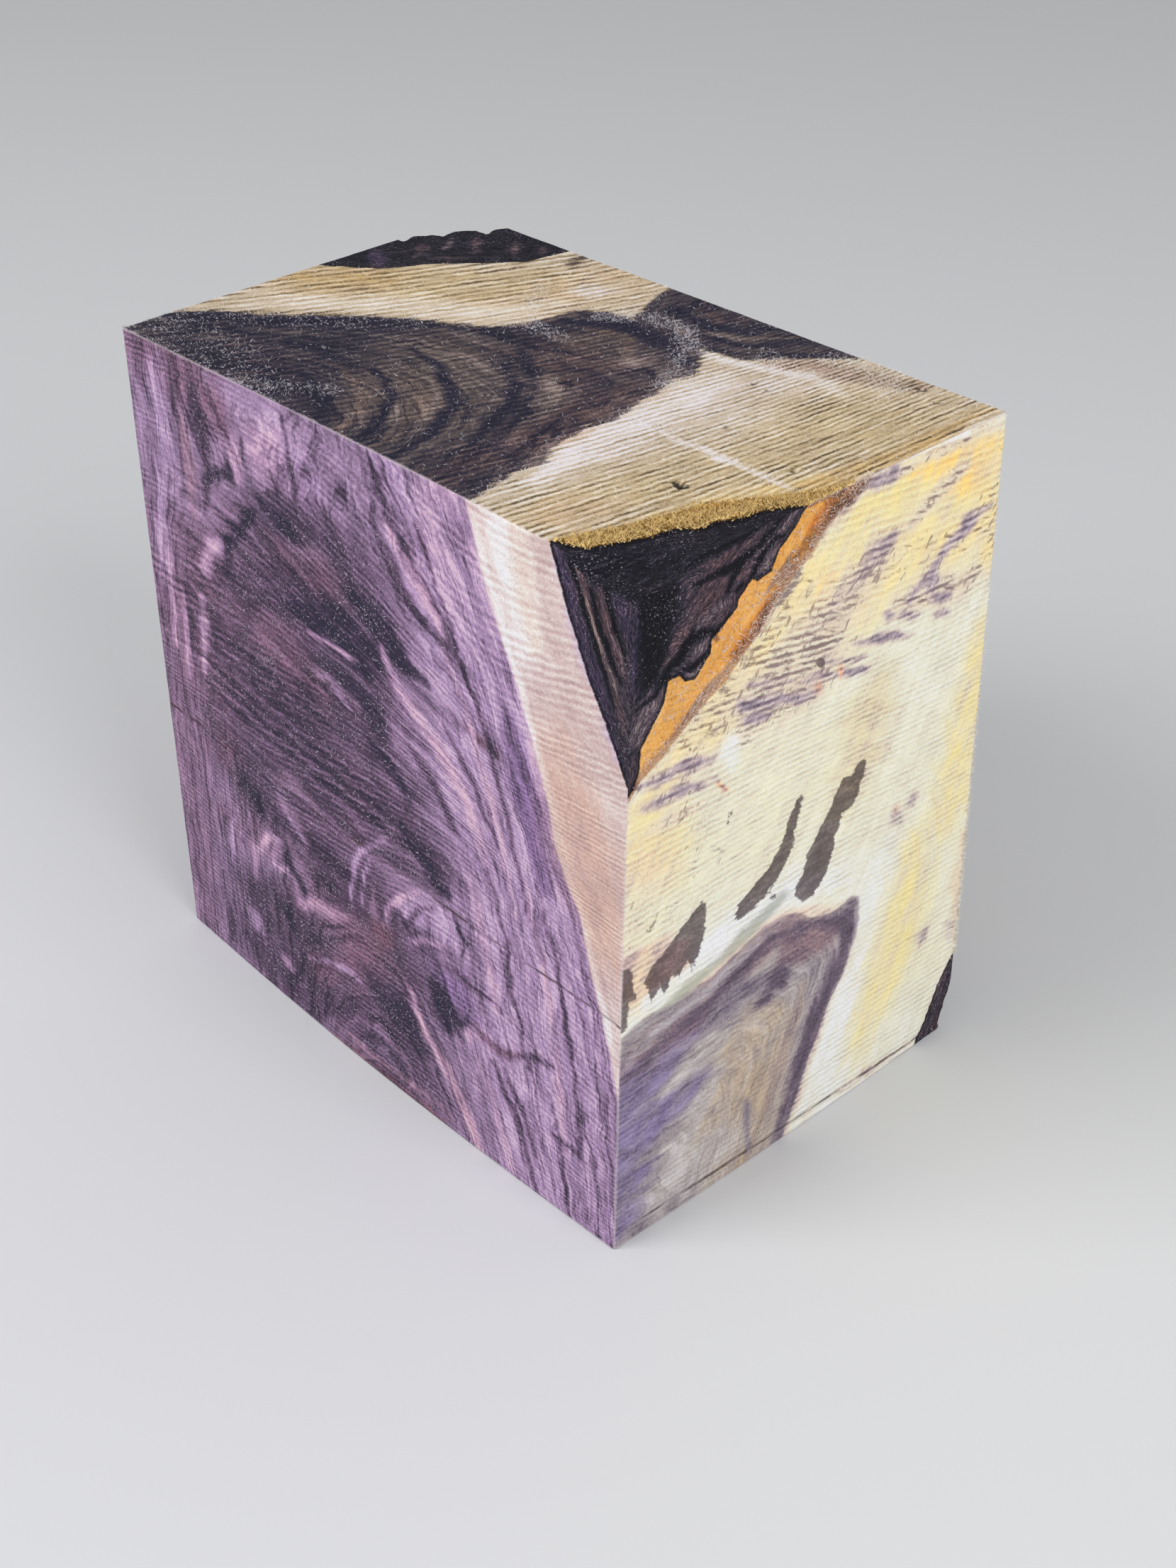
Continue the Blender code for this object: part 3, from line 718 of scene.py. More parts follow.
# A stroke, in shares of its width: how wide its ends and its middle are, how far streaks fray it and how
# softly it fades. Then the widths that count as broad and fine, and how much of what is under it it hides.
TIP_SHARE = 0.45
SWELL_SHARE = 0.6
FRAY_SHARE = 0.22
SOFT_SHARE = 0.22
BROAD_SOFT_SHARE = 0.40
BROAD_STROKE = 12.0
FINE_STROKE = 3.0
MARGIN = 0.5
FINE_MARGIN = 0.2
STROKE_COVER = 0.9

# How far each kind of roughness stands out of its face or sinks into it, in millimetres
SAW_RIPPLE = 0.12
FACE_WAVE = 0.12
TOOTH = 0.08
TORN_OUT = 0.22
BARK_LUMPS = 0.5
BARK_GRAINS = 0.3
BARK_SUNK = 0.25
SPONGE = 0.28
PELT_RISE = 0.25
CAMBIUM_SUNK = 0.3
SEAM_DEPTH = 0.5
HOLE_DEPTH = 2.0
SMEAR_DEPTH = 0.25


def rough(points, size, seed=0):
    """Smooth noise from -1 to 1 at each place, with lumps of the given size."""
    offset = SEED_STEP * seed
    return np.array([noise.noise((x / size + offset, y / size, z / size)) for x, y, z in points.tolist()])


def smooth(value, low, high):
    """A share from 0 to 1 that rises smoothly from low to high, or falls where low is the greater."""
    share = np.clip((value - low) / (high - low), 0.0, 1.0)
    return share * share * (3.0 - 2.0 * share)


def distance_to(places, line):
    """How far each place on a face lies from a line drawn on it, on which side, and how far along."""
    nearest = np.full(len(places), np.inf)
    side = np.ones(len(places))
    along = np.zeros(len(places))
    lengths = [math.dist(start, end) for start, end in zip(line[:-1], line[1:])]
    passed = 0.0
    for start, end, length in zip(line[:-1], line[1:], lengths):
        step = np.subtract(end, start)
        away = places - start
        share = np.clip(away @ step / max(length * length, TINY), 0.0, 1.0)
        distance = np.linalg.norm(away - share[:, None] * step, axis=1)
        closer = distance < nearest
        nearest[closer] = distance[closer]
        turn = step[0] * away[:, 1] - step[1] * away[:, 0]
        side[closer] = np.where(turn[closer] < 0.0, -1.0, 1.0)
        along[closer] = (passed + share[closer] * length) / sum(lengths)
        passed += length
    return nearest, side, along


def depth_inside(places, outline):
    """Distance in from an outline, below zero outside it."""
    closed = tuple(outline) + (outline[0],)
    nearest = distance_to(places, closed)[0]
    x, y = places.T
    inside = np.zeros(len(places), dtype=bool)
    for (x0, y0), (x1, y1) in zip(closed[:-1], closed[1:]):
        if y0 != y1:
            inside ^= ((y0 > y) != (y1 > y)) & (x < x0 + (y - y0) * (x1 - x0) / (y1 - y0))
    return np.where(inside, nearest, -nearest)


def ring_count(places, lines):
    """Count of rings or marks at each place: the smoothest surface through the lines that they follow."""
    knots = np.array([knot for _, line in lines for knot in line], dtype=float)
    counts = np.array([count for count, line in lines for _ in line], dtype=float)

    def pull(spots):
        squared = ((spots[:, None, :] - knots[None, :, :]) ** 2).sum(axis=2)
        return squared * np.log(squared + 1.0)

    def plane(spots):
        return np.column_stack([np.ones(len(spots)), spots])

    eased = pull(knots) + RING_EASE * np.eye(len(knots))
    system = np.block([[eased, plane(knots)], [plane(knots).T, np.zeros((3, 3))]])
    weights = np.linalg.solve(system, np.concatenate([counts, np.zeros(3)]))
    return pull(places) @ weights[:-3] + plane(places) @ weights[-3:]


def sawn_grid():
    """The true box in even cells, finer where it is seen, with each face in a material slot of its own."""
    bm = bmesh.new()
    bmesh.ops.create_cube(bm, size=1.0)
    bmesh.ops.translate(bm, vec=(0.5, 0.5, 0.5), verts=bm.verts)
    bmesh.ops.scale(bm, vec=SIZE, verts=bm.verts)
    for axis in range(3):
        lengthwise = [edge for edge in bm.edges if runs_along(edge, axis)]
        cuts = round(SIZE[axis] / CELL) - 1
        bmesh.ops.subdivide_edges(bm, edges=lengthwise, cuts=cuts, use_grid_fill=True)
    bm.normal_update()
    for face in bm.faces:
        face.material_index = FACE_NAMES.index(face_of(face.normal))
    seen = [face for face in bm.faces if FACE_NAMES[face.material_index] in SEEN_FACES]
    halve(bm, {edge for face in seen for edge in face.edges})
    top = [face for face in bm.faces if FACE_NAMES[face.material_index] == "top"]
    halve(bm, {edge for face in top for edge in face.edges if runs_along(edge, 0)})
    edges = {edge for face in bm.faces if near_bark(face) for edge in face.edges}
    shortest = SHORTEST_SPLIT * CELL
    halve(bm, {edge for edge in edges if not (runs_along(edge, 0) and edge.calc_length() < shortest)})
    return bm


def halve(bm, edges):
    bmesh.ops.subdivide_edges(bm, edges=list(edges), cuts=1, use_grid_fill=True)


def near_bark(face):
    """Whether a face of the grid lies on the near corner's side of a slanted line in front of its bark."""
    x, y, z = face.calc_center_median() - Vector(NEAR_FOOT)
    reach = {"top": x > 0.38 * y - 30.0, "front": z > 146.0 - 1.9 * x, "right": z > 144.0 + 0.66 * y}
    return reach.get(FACE_NAMES[face.material_index], False)


def runs_along(edge, axis):
    step = edge.verts[1].co - edge.verts[0].co
    return abs(step[axis]) > MOSTLY * step.length


def face_of(normal):
    for name, (axis, sign, _) in FACES.items():
        if normal[axis] * sign > MOSTLY:
            return name
    return None


def draw_in_lines(points):
    """Moves the grid's first lines close to each arris and spreads the rest evenly."""
    drawn = points.copy()
    for axis, length in enumerate(SIZE):
        place = points[:, axis]
        cell = length / round(length / CELL)
        inner = ARRIS_CELL + (place - cell) * (length - 2.0 * ARRIS_CELL) / (length - 2.0 * cell)
        near = place * ARRIS_CELL / cell
        far = length - (length - place) * ARRIS_CELL / cell
        drawn[:, axis] = np.where(place < cell, near, np.where(place > length - cell, far, inner))
    return drawn


def break_arrises(points):
    """Rounds every arris a little, more in some places than in others."""
    uneven = 1.0 + 0.45 * rough(points, 6.0, seed=3) + 0.25 * rough(points, 1.8, seed=4)
    radius = ARRIS_RADIUS * uneven[:, None]
    core = np.clip(points, radius, SIZE - radius)
    out = points - core
    reach = np.linalg.norm(out, axis=1)[:, None]
    return np.where(reach > TINY, core + out * radius / np.maximum(reach, TINY), points)


def out_of_square(points):
    """Points of the true box, moved as the saw left them: corners off square, faces bellied."""
    share = points / SIZE
    moved = points.copy()
    for sides, offset in OFF_SQUARE.items():
        shares = [share[:, i] if side else 1.0 - share[:, i] for i, side in enumerate(sides)]
        moved += np.prod(shares, axis=0)[:, None] * np.array(offset)
    right, back, top = share.T
    front_bow = FRONT_BELLY * (1.0 - top) - FRONT_HOLLOW * top
    moved[:, 1] -= front_bow * np.sin(math.pi * right) * (1.0 - back)
    moved[:, 0] += RIGHT_BELLY * (1.0 - top) * np.sin(math.pi * back) * right
    return moved


def furrow_depth(across, along):
    snake = SNAKE_SHARE * np.sin(2.0 * math.pi * along / SNAKE_LENGTH)
    turn = math.pi * (across / FURROW_PITCH + snake)
    groove = (1.0 - np.abs(np.sin(turn))) ** FURROW_SHARPNESS
    crack = 0.5 + 0.5 * np.sin(2.0 * math.pi * along / CRACK_PITCH + turn)
    return FURROW_DEPTH * groove + CRACK_DEPTH * crack


def wane_back(points, sides, wane):
    """Draws a bark corner in to the log's furrowed outside, and says how far each point came in."""
    signs = np.array([1.0 if side else -1.0 for side in sides])
    normal = signs / np.array(wane)
    normal /= np.linalg.norm(normal)
    along = np.array([0.0, 0.0, 1.0]) - normal * normal[2]
    along /= np.linalg.norm(along)
    across = np.cross(along, normal)
    corner = out_of_square(np.array([[side * length for side, length in zip(sides, SIZE)]]))[0]
    foot = corner - normal * (wane[0] * abs(normal[0]))
    place = points - foot
    angle = np.arcsin(np.clip(place @ across / LOG_RADIUS, -1.0, 1.0))
    radius = LOG_RADIUS - furrow_depth(LOG_RADIUS * angle, place @ along)
    flakes = 0.5 * rough(points, 3.0, seed=11) + 0.3 * rough(points, 1.2, seed=12)
    excess = place @ normal - (radius * np.cos(angle) - LOG_RADIUS) - flakes
    excess = np.where(place @ normal > -12.0, np.maximum(excess, 0.0), 0.0)
    return points - excess[:, None] * normal, excess


def wander_at(points):
    """How far the drawn lines are pushed about at each point, along both directions of its face."""
    wander = np.stack([rough(points, WANDER_SIZE, seed) for seed in (21, 22)], axis=1)
    return wander + 0.5 * np.stack([rough(points, FINE_WANDER_SIZE, seed) for seed in (23, 24)], axis=1)


def streaks(points, count, closeness, seed):
    """Noise drawn out along the lines of equal count."""
    drawn_out = closeness * points + np.outer(STREAK_ACROSS * count, (1.0, 0.0, 0.0))
    return rough(drawn_out, 1.0, seed) + 0.5 * rough(FINER_STREAK * drawn_out, 1.0, seed + 1)


def plain_tone(name, fields):
    """The tone of each place before anything is drawn on it."""
    tone = np.zeros((len(fields["heart"]), len(TONE_CHANNELS)))
    tone[:, 0] = np.where(fields["heart"] > 0.0, HEART_SHADE[name], SAP_SHADE[name])
    tone[:, 0] = np.where(fields["cambium"] > 0.0, 0.0, tone[:, 0])
    tone[:, 0] = np.where(fields["bark"] > 0.0, BARK_SHADE[name], tone[:, 0])
    return tone


def draw_strokes(tone, strokes, places, streak):
    """Lays strokes over the plain tone, thinner at their ends and frayed by the streaks."""
    for colour, width, line in strokes:
        distance, _, along = distance_to(places, line)
        margin = FINE_MARGIN if width < FINE_STROKE else MARGIN
        swell = TIP_SHARE + SWELL_SHARE * np.sin(math.pi * along)
        reach = 0.5 * width * swell + (FRAY_SHARE * width + margin) * streak
        soft = (SOFT_SHARE if width < BROAD_STROKE else BROAD_SOFT_SHARE) * width + margin
        weight = STROKE_COVER * smooth(distance - reach, soft, -soft)[:, None]
        tone = tone * (1.0 - weight) + np.array(TONES[colour]) * weight
    return tone


def face_fields(name, points, places):
    """What the face shows at each point: every field of the figure, in one table."""
    wander = wander_at(points)
    fields = {"heart": depth_inside(places + HEART_FOLLOWS * wander, HEART[name])}
    depths = [depth_inside(places + BARK_FOLLOWS * wander, outline) for outline in BARK[name]]
    fields["bark"] = np.max(depths, axis=0)
    fields["cambium"] = depth_inside(places + CAMBIUM_FOLLOWS * wander, CAMBIUM[name])
    far_off = np.full(len(places), FAR_OFF)
    smears = [depth_inside(places, outline) for outline in SMEARS_AND_HOLES.get(name, ())]
    fields["smear_and_hole"] = np.max([far_off] + smears, axis=0)
    fields["mildew"] = depth_inside(places, MILDEW[name]) if name in MILDEW else far_off
    fields["seam"] = far_off
    if name in SEAM:
        distance, side, _ = distance_to(places + SEAM_FOLLOWS * wander, SEAM[name])
        fields["seam"] = distance * side
    fields["ring"] = ring_count(places, RINGS[name])
    fields["saw"] = ring_count(places, SAW_MARKS[name]) + 0.8 * rough(points, 30.0, seed=31)
    drag = np.zeros(len(places))
    if name in DRAGGED:
        drag = smooth(depth_inside(places, DRAGGED[name]), -DRAG_EDGE, DRAG_EDGE)
    fields["drag"] = drag
    streak = (1.0 - drag) * streaks(points, fields["ring"], STREAK_ALONG_RINGS, seed=25)
    streak += drag * streaks(points, fields["saw"], STREAK_ALONG_MARKS, seed=27)
    past_wood = smooth(fields["cambium"], -1.0, 1.0)
    follow = STROKES_FOLLOW - (STROKES_FOLLOW - BARK_STROKES_FOLLOW) * past_wood
    drawn = places + follow[:, None] * wander
    tone = draw_strokes(plain_tone(name, fields), FIGURE[name], drawn, streak)
    for index, channel in enumerate(TONE_CHANNELS):
        fields[channel] = tone[:, index]
    return fields


def face_relief(name, points, fields):
    """How far the face stands out at each point, in millimetres."""
    wood = smooth(fields["cambium"], 0.5, -0.5)
    strength = 0.6 + 0.5 * rough(points, 22.0, seed=41)
    if name == "top":
        height = SAW_RIPPLE * np.sin(2.0 * math.pi * fields["saw"] / SAW_PITCH[name]) * strength * wood
    else:
        height = FACE_WAVE * rough(points, 7.0, seed=42) * wood
    height += TOOTH * rough(points, 2.2, seed=43)
    torn = np.clip(-fields["shade"], 0.0, 1.0) * smooth(fields["heart"], -0.5, 0.5)
    height -= TORN_OUT * torn * np.maximum(rough(points, 3.0, seed=44), 0.0)
    bark = smooth(fields["bark"], -0.3, 0.8)
    lumps = BARK_LUMPS * rough(points, 4.5, seed=45) + BARK_GRAINS * rough(points, 1.8, seed=46)
    height += bark * (lumps - BARK_SUNK)
    cambium = smooth(fields["cambium"], 0.0, 1.5) * (1.0 - bark)
    rise = PELT_RISE if name == "top" else -CAMBIUM_SUNK
    height += cambium * (SPONGE * rough(points, 1.5, seed=47) + rise)
    height -= SEAM_DEPTH * smooth(np.abs(fields["seam"]), 1.0, 0.0)
    height -= (HOLE_DEPTH if name == "top" else SMEAR_DEPTH) * smooth(fields["smear_and_hole"], -0.2, 1.0)
    # The base stays flat on the floor
    return np.minimum(height, 0.0) if name == "base" else height


# The bark of the near corner is worn down where its top meets the front and right faces: how deep, from
# what distance in to what distance, how much narrower across, and how far down the wear reaches
WORN_DEPTH = 4.2
WORN_REACH = (34.0, 12.0)
WORN_NARROWING = 1.35
WORN_TO = 28.0


def wear_corner(points):
    places = points - NEAR_FOOT
    bark = smooth(depth_inside(places[:, :2], BARK["top"][0]), 0.0, 6.0)
    distance = np.hypot(places[:, 0], WORN_NARROWING * places[:, 1])
    rise = np.clip((places[:, 2] - SIZE[2] + WORN_TO) / WORN_TO, 0.0, 1.0)
    worn = points.copy()
    uneven = 1.0 + 0.2 * rough(points, 5.0, seed=51)
    worn[:, 2] -= WORN_DEPTH * uneven * smooth(distance, *WORN_REACH) * bark * rise
    return worn


def numbers_of(items, name, kind, each=1):
    """One property of every vertex, loop or face of a mesh."""
    numbers = np.empty(len(items) * each, dtype=kind)
    items.foreach_get(name, numbers)
    return numbers


def mesh_of(bm, name):
    """Turns a bmesh into a mesh and lets it go."""
    mesh = bpy.data.meshes.new(name)
    bm.to_mesh(mesh)
    bm.free()
    return mesh


def put_in_scene(name, data):
    obj = bpy.data.objects.new(name, data)
    bpy.context.scene.collection.objects.link(obj)
    return obj


FIELD_NAMES = (
    "heart", "bark", "cambium", "smear_and_hole", "mildew", "seam", "ring", "saw", "drag", "arris", "outside")

block_mesh = mesh_of(sawn_grid(), "sawn_block")

count = len(block_mesh.vertices)
true_points = draw_in_lines(numbers_of(block_mesh.vertices, "co", float, each=3).reshape(-1, 3))

# What brings the middle of the base to the origin
footprint = out_of_square(true_points)[:, :2]
shift = np.array([*(-footprint.min(0) - footprint.max(0)) / 2.0, 0.0])

sawn = wear_corner(out_of_square(break_arrises(true_points)))
outside = np.zeros(count)
for sides, wane in WANES.items():
    sawn, excess = wane_back(sawn, sides, wane)
    outside = np.maximum(outside, excess)

loop_vertex = numbers_of(block_mesh.loops, "vertex_index", np.int64)
slots = numbers_of(block_mesh.polygons, "material_index", np.int64)
loop_totals = numbers_of(block_mesh.polygons, "loop_total", np.int64)
loop_slots = np.repeat(slots, loop_totals)

corner_values = {name: np.zeros(len(loop_vertex)) for name in FIELD_NAMES + TONE_CHANNELS}
relief = np.zeros((count, 3))
for slot, (face_name, (axis, sign, plane)) in enumerate(FACES.items()):
    on_face = loop_slots == slot
    used = np.unique(loop_vertex[on_face])
    points = sawn[used]
    places = (points - NEAR_FOOT)[:, plane]
    fields = face_fields(face_name, points, places)
    square = true_points[used][:, plane]
    fields["arris"] = np.minimum(square, SIZE[list(plane)] - square).min(axis=1)
    fields["outside"] = outside[used]
    relief[used, axis] += sign * face_relief(face_name, points, fields) * smooth(fields["arris"], 0.0, 2.2)
    spread = np.zeros(count)
    for name, values in fields.items():
        spread[used] = values
        corner_values[name][on_face] = spread[loop_vertex[on_face]]

for name, values in corner_values.items():
    attribute = block_mesh.attributes.new(name, "FLOAT", "CORNER")
    attribute.data.foreach_set("value", values)

finished = (sawn + relief + shift) / 1000.0
block_mesh.vertices.foreach_set("co", finished.ravel())
block_mesh.shade_smooth()
block_mesh.update()


class Recipe:
    """Writes a node tree as plain steps: each step gives back the socket that holds its result."""

    def __init__(self, tree):
        self.nodes = tree.nodes
        self.links = tree.links

    def put(self, socket, value):
        if isinstance(value, bpy.types.NodeSocket):
            self.links.new(value, socket)
        else:
            socket.default_value = value

    def field(self, name):
        node = self.nodes.new("ShaderNodeAttribute")
        node.attribute_name = name
        return node.outputs["Fac"]

    def place(self):
        """Place on the object in millimetres."""
        coordinates = self.nodes.new("ShaderNodeTexCoord")
        return self.vector("MULTIPLY", coordinates.outputs["Object"], (1000.0, 1000.0, 1000.0))

    def vector(self, operation, *values):
        node = self.nodes.new("ShaderNodeVectorMath")
        node.operation = operation
        for socket, value in zip(node.inputs, values):
            self.put(socket, value)
        return node.outputs["Vector"]

    def math(self, operation, *values, clamp=False):
        node = self.nodes.new("ShaderNodeMath")
        node.operation = operation
        node.use_clamp = clamp
        for socket, value in zip(node.inputs, values):
            self.put(socket, value)
        return node.outputs["Value"]

    def plus(self, *values):
        total = values[0]
        for value in values[1:]:
            total = self.math("ADD", total, value)
        return total

    def times(self, *values, clamp=False):
        total = values[0]
        for value in values[1:]:
            total = self.math("MULTIPLY", total, value, clamp=clamp)
        return total

    def fade(self, value, low, high, start=0.0, end=1.0):
        node = self.nodes.new("ShaderNodeMapRange")
        node.interpolation_type = "SMOOTHSTEP"
        named = {"Value": value, "From Min": low, "From Max": high, "To Min": start, "To Max": end}
        for name, amount in named.items():
            self.put(node.inputs[name], amount)
        return node.outputs["Result"]

    def noise(self, place, scale, detail=2.0, roughness=0.5, distortion=0.0):
        """Noise from about -1 to 1."""
        node = self.nodes.new("ShaderNodeTexNoise")
        self.put(node.inputs["Vector"], place)
        named = {"Scale": scale, "Detail": detail, "Roughness": roughness, "Distortion": distortion}
        for name, amount in named.items():
            self.put(node.inputs[name], amount)
        return self.math("MULTIPLY_ADD", node.outputs["Fac"], 3.0, -1.5)

    def ramp(self, value, stops):
        """A colour for each value from -1 to 1."""
        node = self.nodes.new("ShaderNodeValToRGB")
        self.put(node.inputs["Fac"], self.math("MULTIPLY_ADD", value, 0.5, 0.5))
        elements = node.color_ramp.elements
        while len(elements) < len(stops):
            elements.new(0.5)
        for element, (position, colour) in zip(elements, stops):
            element.position = position * 0.5 + 0.5
            element.color = (*colour, 1.0)
        return node.outputs["Color"]

    def blend(self, share, first, second, mode="MIX"):
        node = self.nodes.new("ShaderNodeMix")
        node.data_type = "RGBA"
        node.blend_type = mode
        self.put(node.inputs[0], share)
        self.put(node.inputs[6], first)
        self.put(node.inputs[7], second)
        return node.outputs[2]

    def along(self, place, ring, fine, coarse):
        """Place for noise that is drawn out along the growth rings."""
        node = self.nodes.new("ShaderNodeCombineXYZ")
        self.put(node.inputs["X"], self.times(ring, fine))
        return self.vector("ADD", self.vector("MULTIPLY", place, (coarse, coarse, coarse)), node.outputs[0])

    def turned(self, place, degrees):
        """A place turned about X, so that noise can be drawn out at a slant."""
        node = self.nodes.new("ShaderNodeVectorRotate")
        node.rotation_type = "X_AXIS"
        self.put(node.inputs["Vector"], place)
        self.put(node.inputs["Angle"], math.radians(degrees))
        return node.outputs["Vector"]


def colour(red, green, blue):
    return (red, green, blue, 1.0)


GRAIN_PARTS = (
    "Streak", "Fibre", "Line", "Blotch", "Fuzz", "Fleck", "Marks", "Tear", "Mottle", "Pits", "Slash")

# How the mottling, the pits and the slashes lean on the right face, in degrees
MOTTLE_SLANT = 18.0
PIT_SLANT = -52.0
SLASH_SLANT = -62.0


def new_group(name, inputs, outputs):
    """A node group with the sockets named, each with its kind, and the values that it is given."""
    tree = bpy.data.node_groups.new(name, "ShaderNodeTree")
    for in_out, sockets in (("INPUT", inputs), ("OUTPUT", outputs)):
        for socket, kind in sockets.items():
            tree.interface.new_socket(name=socket, in_out=in_out, socket_type="NodeSocket" + kind)
    return tree, tree.nodes.new("NodeGroupInput").outputs


def give_back(tree, made):
    output = tree.nodes.new("NodeGroupOutput")
    for name, value in made.items():
        tree.links.new(value, output.inputs[name])
    return tree


def new_material(name):
    material = bpy.data.materials.new(name)
    material.use_nodes = True
    return material, material.node_tree.nodes["Principled BSDF"]


def wood_grain_group():
    """Grain that every face shares: streaks along the rings, blotches, torn fuzz, saw marks and pits."""
    inputs = {"Place": "Vector", "Ring": "Float", "Saw": "Float", "Pitch": "Float"}
    tree, given = new_group("wood_grain", inputs, dict.fromkeys(GRAIN_PARTS, "Float"))
    grain = Recipe(tree)
    place, ring, saw = given["Place"], given["Ring"], given["Saw"]
    slant = grain.vector("MULTIPLY", grain.turned(place, MOTTLE_SLANT), (0.4, 0.15, 0.62))
    pits = grain.vector("MULTIPLY", grain.turned(place, PIT_SLANT), (0.5, 0.26, 0.7))
    slashes = grain.vector("MULTIPLY", grain.turned(place, SLASH_SLANT), (0.3, 0.035, 0.32))
    wobble = grain.times(grain.noise(place, 0.20, 3.0, 0.6), given["Pitch"], 0.24)
    turn = grain.math("DIVIDE", grain.times(grain.plus(saw, wobble), 2.0 * math.pi), given["Pitch"])
    patches = grain.noise(grain.along(place, saw, 0.26, 0.07), 1.0, 3.0, 0.65)
    uneven = grain.fade(patches, -0.6, 0.7, 0.05, 2.1)
    dusty = grain.times(grain.noise(place, 0.07, 2.0), 0.30)
    bend = grain.noise(place, 0.085, 4.0, 0.55)
    ring = grain.plus(ring, grain.times(bend, 2.6))
    dragged = grain.plus(saw, grain.times(bend, 2.0))
    line = grain.math("ABSOLUTE", grain.noise(grain.along(place, ring, 0.24, 0.022), 1.0, 2.0))
    return give_back(tree, {
        "Streak": grain.noise(grain.along(place, ring, 0.30, 0.040), 1.0, 4.0, 0.68, 0.3),
        "Fibre": grain.noise(grain.along(place, ring, 1.4, 0.12), 1.0, 3.0, 0.6, 0.2),
        "Line": grain.fade(line, 0.02, 0.12, 1.0, 0.0),
        "Blotch": grain.noise(place, 0.09, 4.0, 0.6, 0.4),
        "Fuzz": grain.noise(place, 1.2, 3.0, 0.78),
        "Fleck": grain.fade(grain.plus(grain.noise(place, 1.8, 1.0, 0.5), dusty), 0.48, 0.80),
        "Marks": grain.times(grain.math("SINE", turn), uneven),
        "Tear": grain.noise(grain.along(place, dragged, 0.42, 0.095), 1.0, 4.0, 0.70, 0.3),
        "Mottle": grain.noise(slant, 1.0, 2.0, 0.6, 0.4),
        "Pits": grain.noise(pits, 1.0, 2.0, 0.6, 0.3),
        "Slash": grain.noise(slashes, 1.0, 3.0, 0.65, 0.3),
    })


CUT_BARK_COLOURS = (
    (-1.0, (0.004, 0.004, 0.008)), (-0.4, (0.016, 0.015, 0.027)), (0.0, (0.052, 0.041, 0.062)),
    (0.5, (0.140, 0.094, 0.118)), (1.0, (0.38, 0.31, 0.30)))
CRUST_COLOURS = ((-1.0, (0.010, 0.008, 0.009)), (0.0, (0.035, 0.027, 0.028)), (1.0, (0.12, 0.095, 0.088)))


def bark_group():
    """Cut bark: flat corky plates, plum inside and black where they meet, with a furrowed crust outside."""
    inputs = {"Place": "Vector", "Depth": "Float", "Outside": "Float", "Shade": "Float"}
    tree, given = new_group("walnut_bark", inputs, {"Colour": "Color", "Height": "Float"})
    bark = Recipe(tree)
    place = given["Place"]
    layered = bark.plus(given["Depth"], bark.times(bark.noise(place, 0.12, 3.0), 2.5))
    bent = bark.along(place, layered, 0.30, 0.055)
    plates = tree.nodes.new("ShaderNodeTexVoronoi")
    plates.feature = "DISTANCE_TO_EDGE"
    bark.put(plates.inputs["Vector"], bent)
    rim = bark.fade(plates.outputs["Distance"], 0.02, 0.20, 1.0, 0.0)
    layers = bark.noise(bark.along(place, given["Depth"], 0.75, 0.05), 1.0, 3.0, 0.6, 0.4)
    grit = bark.noise(place, 1.3, 3.0, 0.7)
    edge = bark.fade(given["Depth"], 1.3, 0.5, 0.0, -0.7)
    plate_shade = bark.plus(bark.times(layers, 0.50), bark.times(grit, 0.45), bark.times(rim, -0.5))
    shade = bark.plus(given["Shade"], plate_shade, edge)
    cut = bark.ramp(shade, CUT_BARK_COLOURS)
    weather = bark.plus(bark.times(bark.noise(place, 0.5, 4.0, 0.65), 0.8), -0.2)
    crust = bark.ramp(weather, CRUST_COLOURS)
    both = bark.blend(bark.fade(given["Outside"], 0.0, 1.0), cut, crust)
    relief = bark.plus(bark.times(layers, 0.20), bark.times(grit, 0.16), bark.times(rim, -0.35))
    return give_back(tree, {"Colour": both, "Height": relief})


wood_grain = wood_grain_group()
walnut_bark = bark_group()

VIOLET_CAST = colour(0.80, 0.76, 1.22)
GOLD_CAST = colour(1.12, 0.97, 0.42)
RUST_CAST = colour(1.45, 0.86, 0.66)

# Colours of the heartwood and sapwood on each face, from dark to light. The right face's sapwood colours are
# raised as painted light, for the stronger light that falls on that face.
HEART_COLOURS = {
    "top": ((-1.0, (0.010, 0.010, 0.026)), (-0.5, (0.030, 0.025, 0.045)), (0.0, (0.084, 0.064, 0.068)),
            (0.5, (0.19, 0.145, 0.145)), (1.0, (0.36, 0.29, 0.29))),
    "front": ((-1.0, (0.024, 0.021, 0.042)), (-0.5, (0.096, 0.060, 0.106)), (0.0, (0.275, 0.178, 0.298)),
              (0.5, (0.49, 0.318, 0.52)), (1.0, (0.76, 0.56, 0.70))),
    "right": ((-1.0, (0.065, 0.048, 0.070)), (-0.5, (0.17, 0.132, 0.18)), (0.0, (0.35, 0.30, 0.32)),
              (0.5, (0.49, 0.44, 0.45)), (1.0, (0.64, 0.60, 0.63))),
}
SAP_COLOURS_AND_FACE_LIGHT = {
    "top": ((-1.0, (0.10, 0.075, 0.06)), (-0.5, (0.36, 0.27, 0.16)), (0.0, (0.60, 0.48, 0.34)),
            (0.5, (0.74, 0.64, 0.53)), (1.0, (0.87, 0.83, 0.83))),
    "front": ((-1.0, (0.20, 0.13, 0.14)), (-0.5, (0.45, 0.31, 0.32)), (0.0, (0.64, 0.46, 0.45)),
              (0.5, (0.82, 0.68, 0.64)), (1.0, (0.93, 0.91, 0.88))),
    # Painted light: made lighter for the stronger light on the right face
    "right": ((-1.0, (0.15, 0.115, 0.125)), (-0.6, (0.42, 0.34, 0.36)), (-0.25, (0.66, 0.55, 0.49)),
              (0.0, (0.80, 0.71, 0.59)), (0.5, (0.86, 0.85, 0.72)), (1.0, (0.93, 0.93, 0.91))),
}

# Which seen face each hidden face looks like
HIDDEN_AS = {"left": "front", "back": "top", "base": "front"}

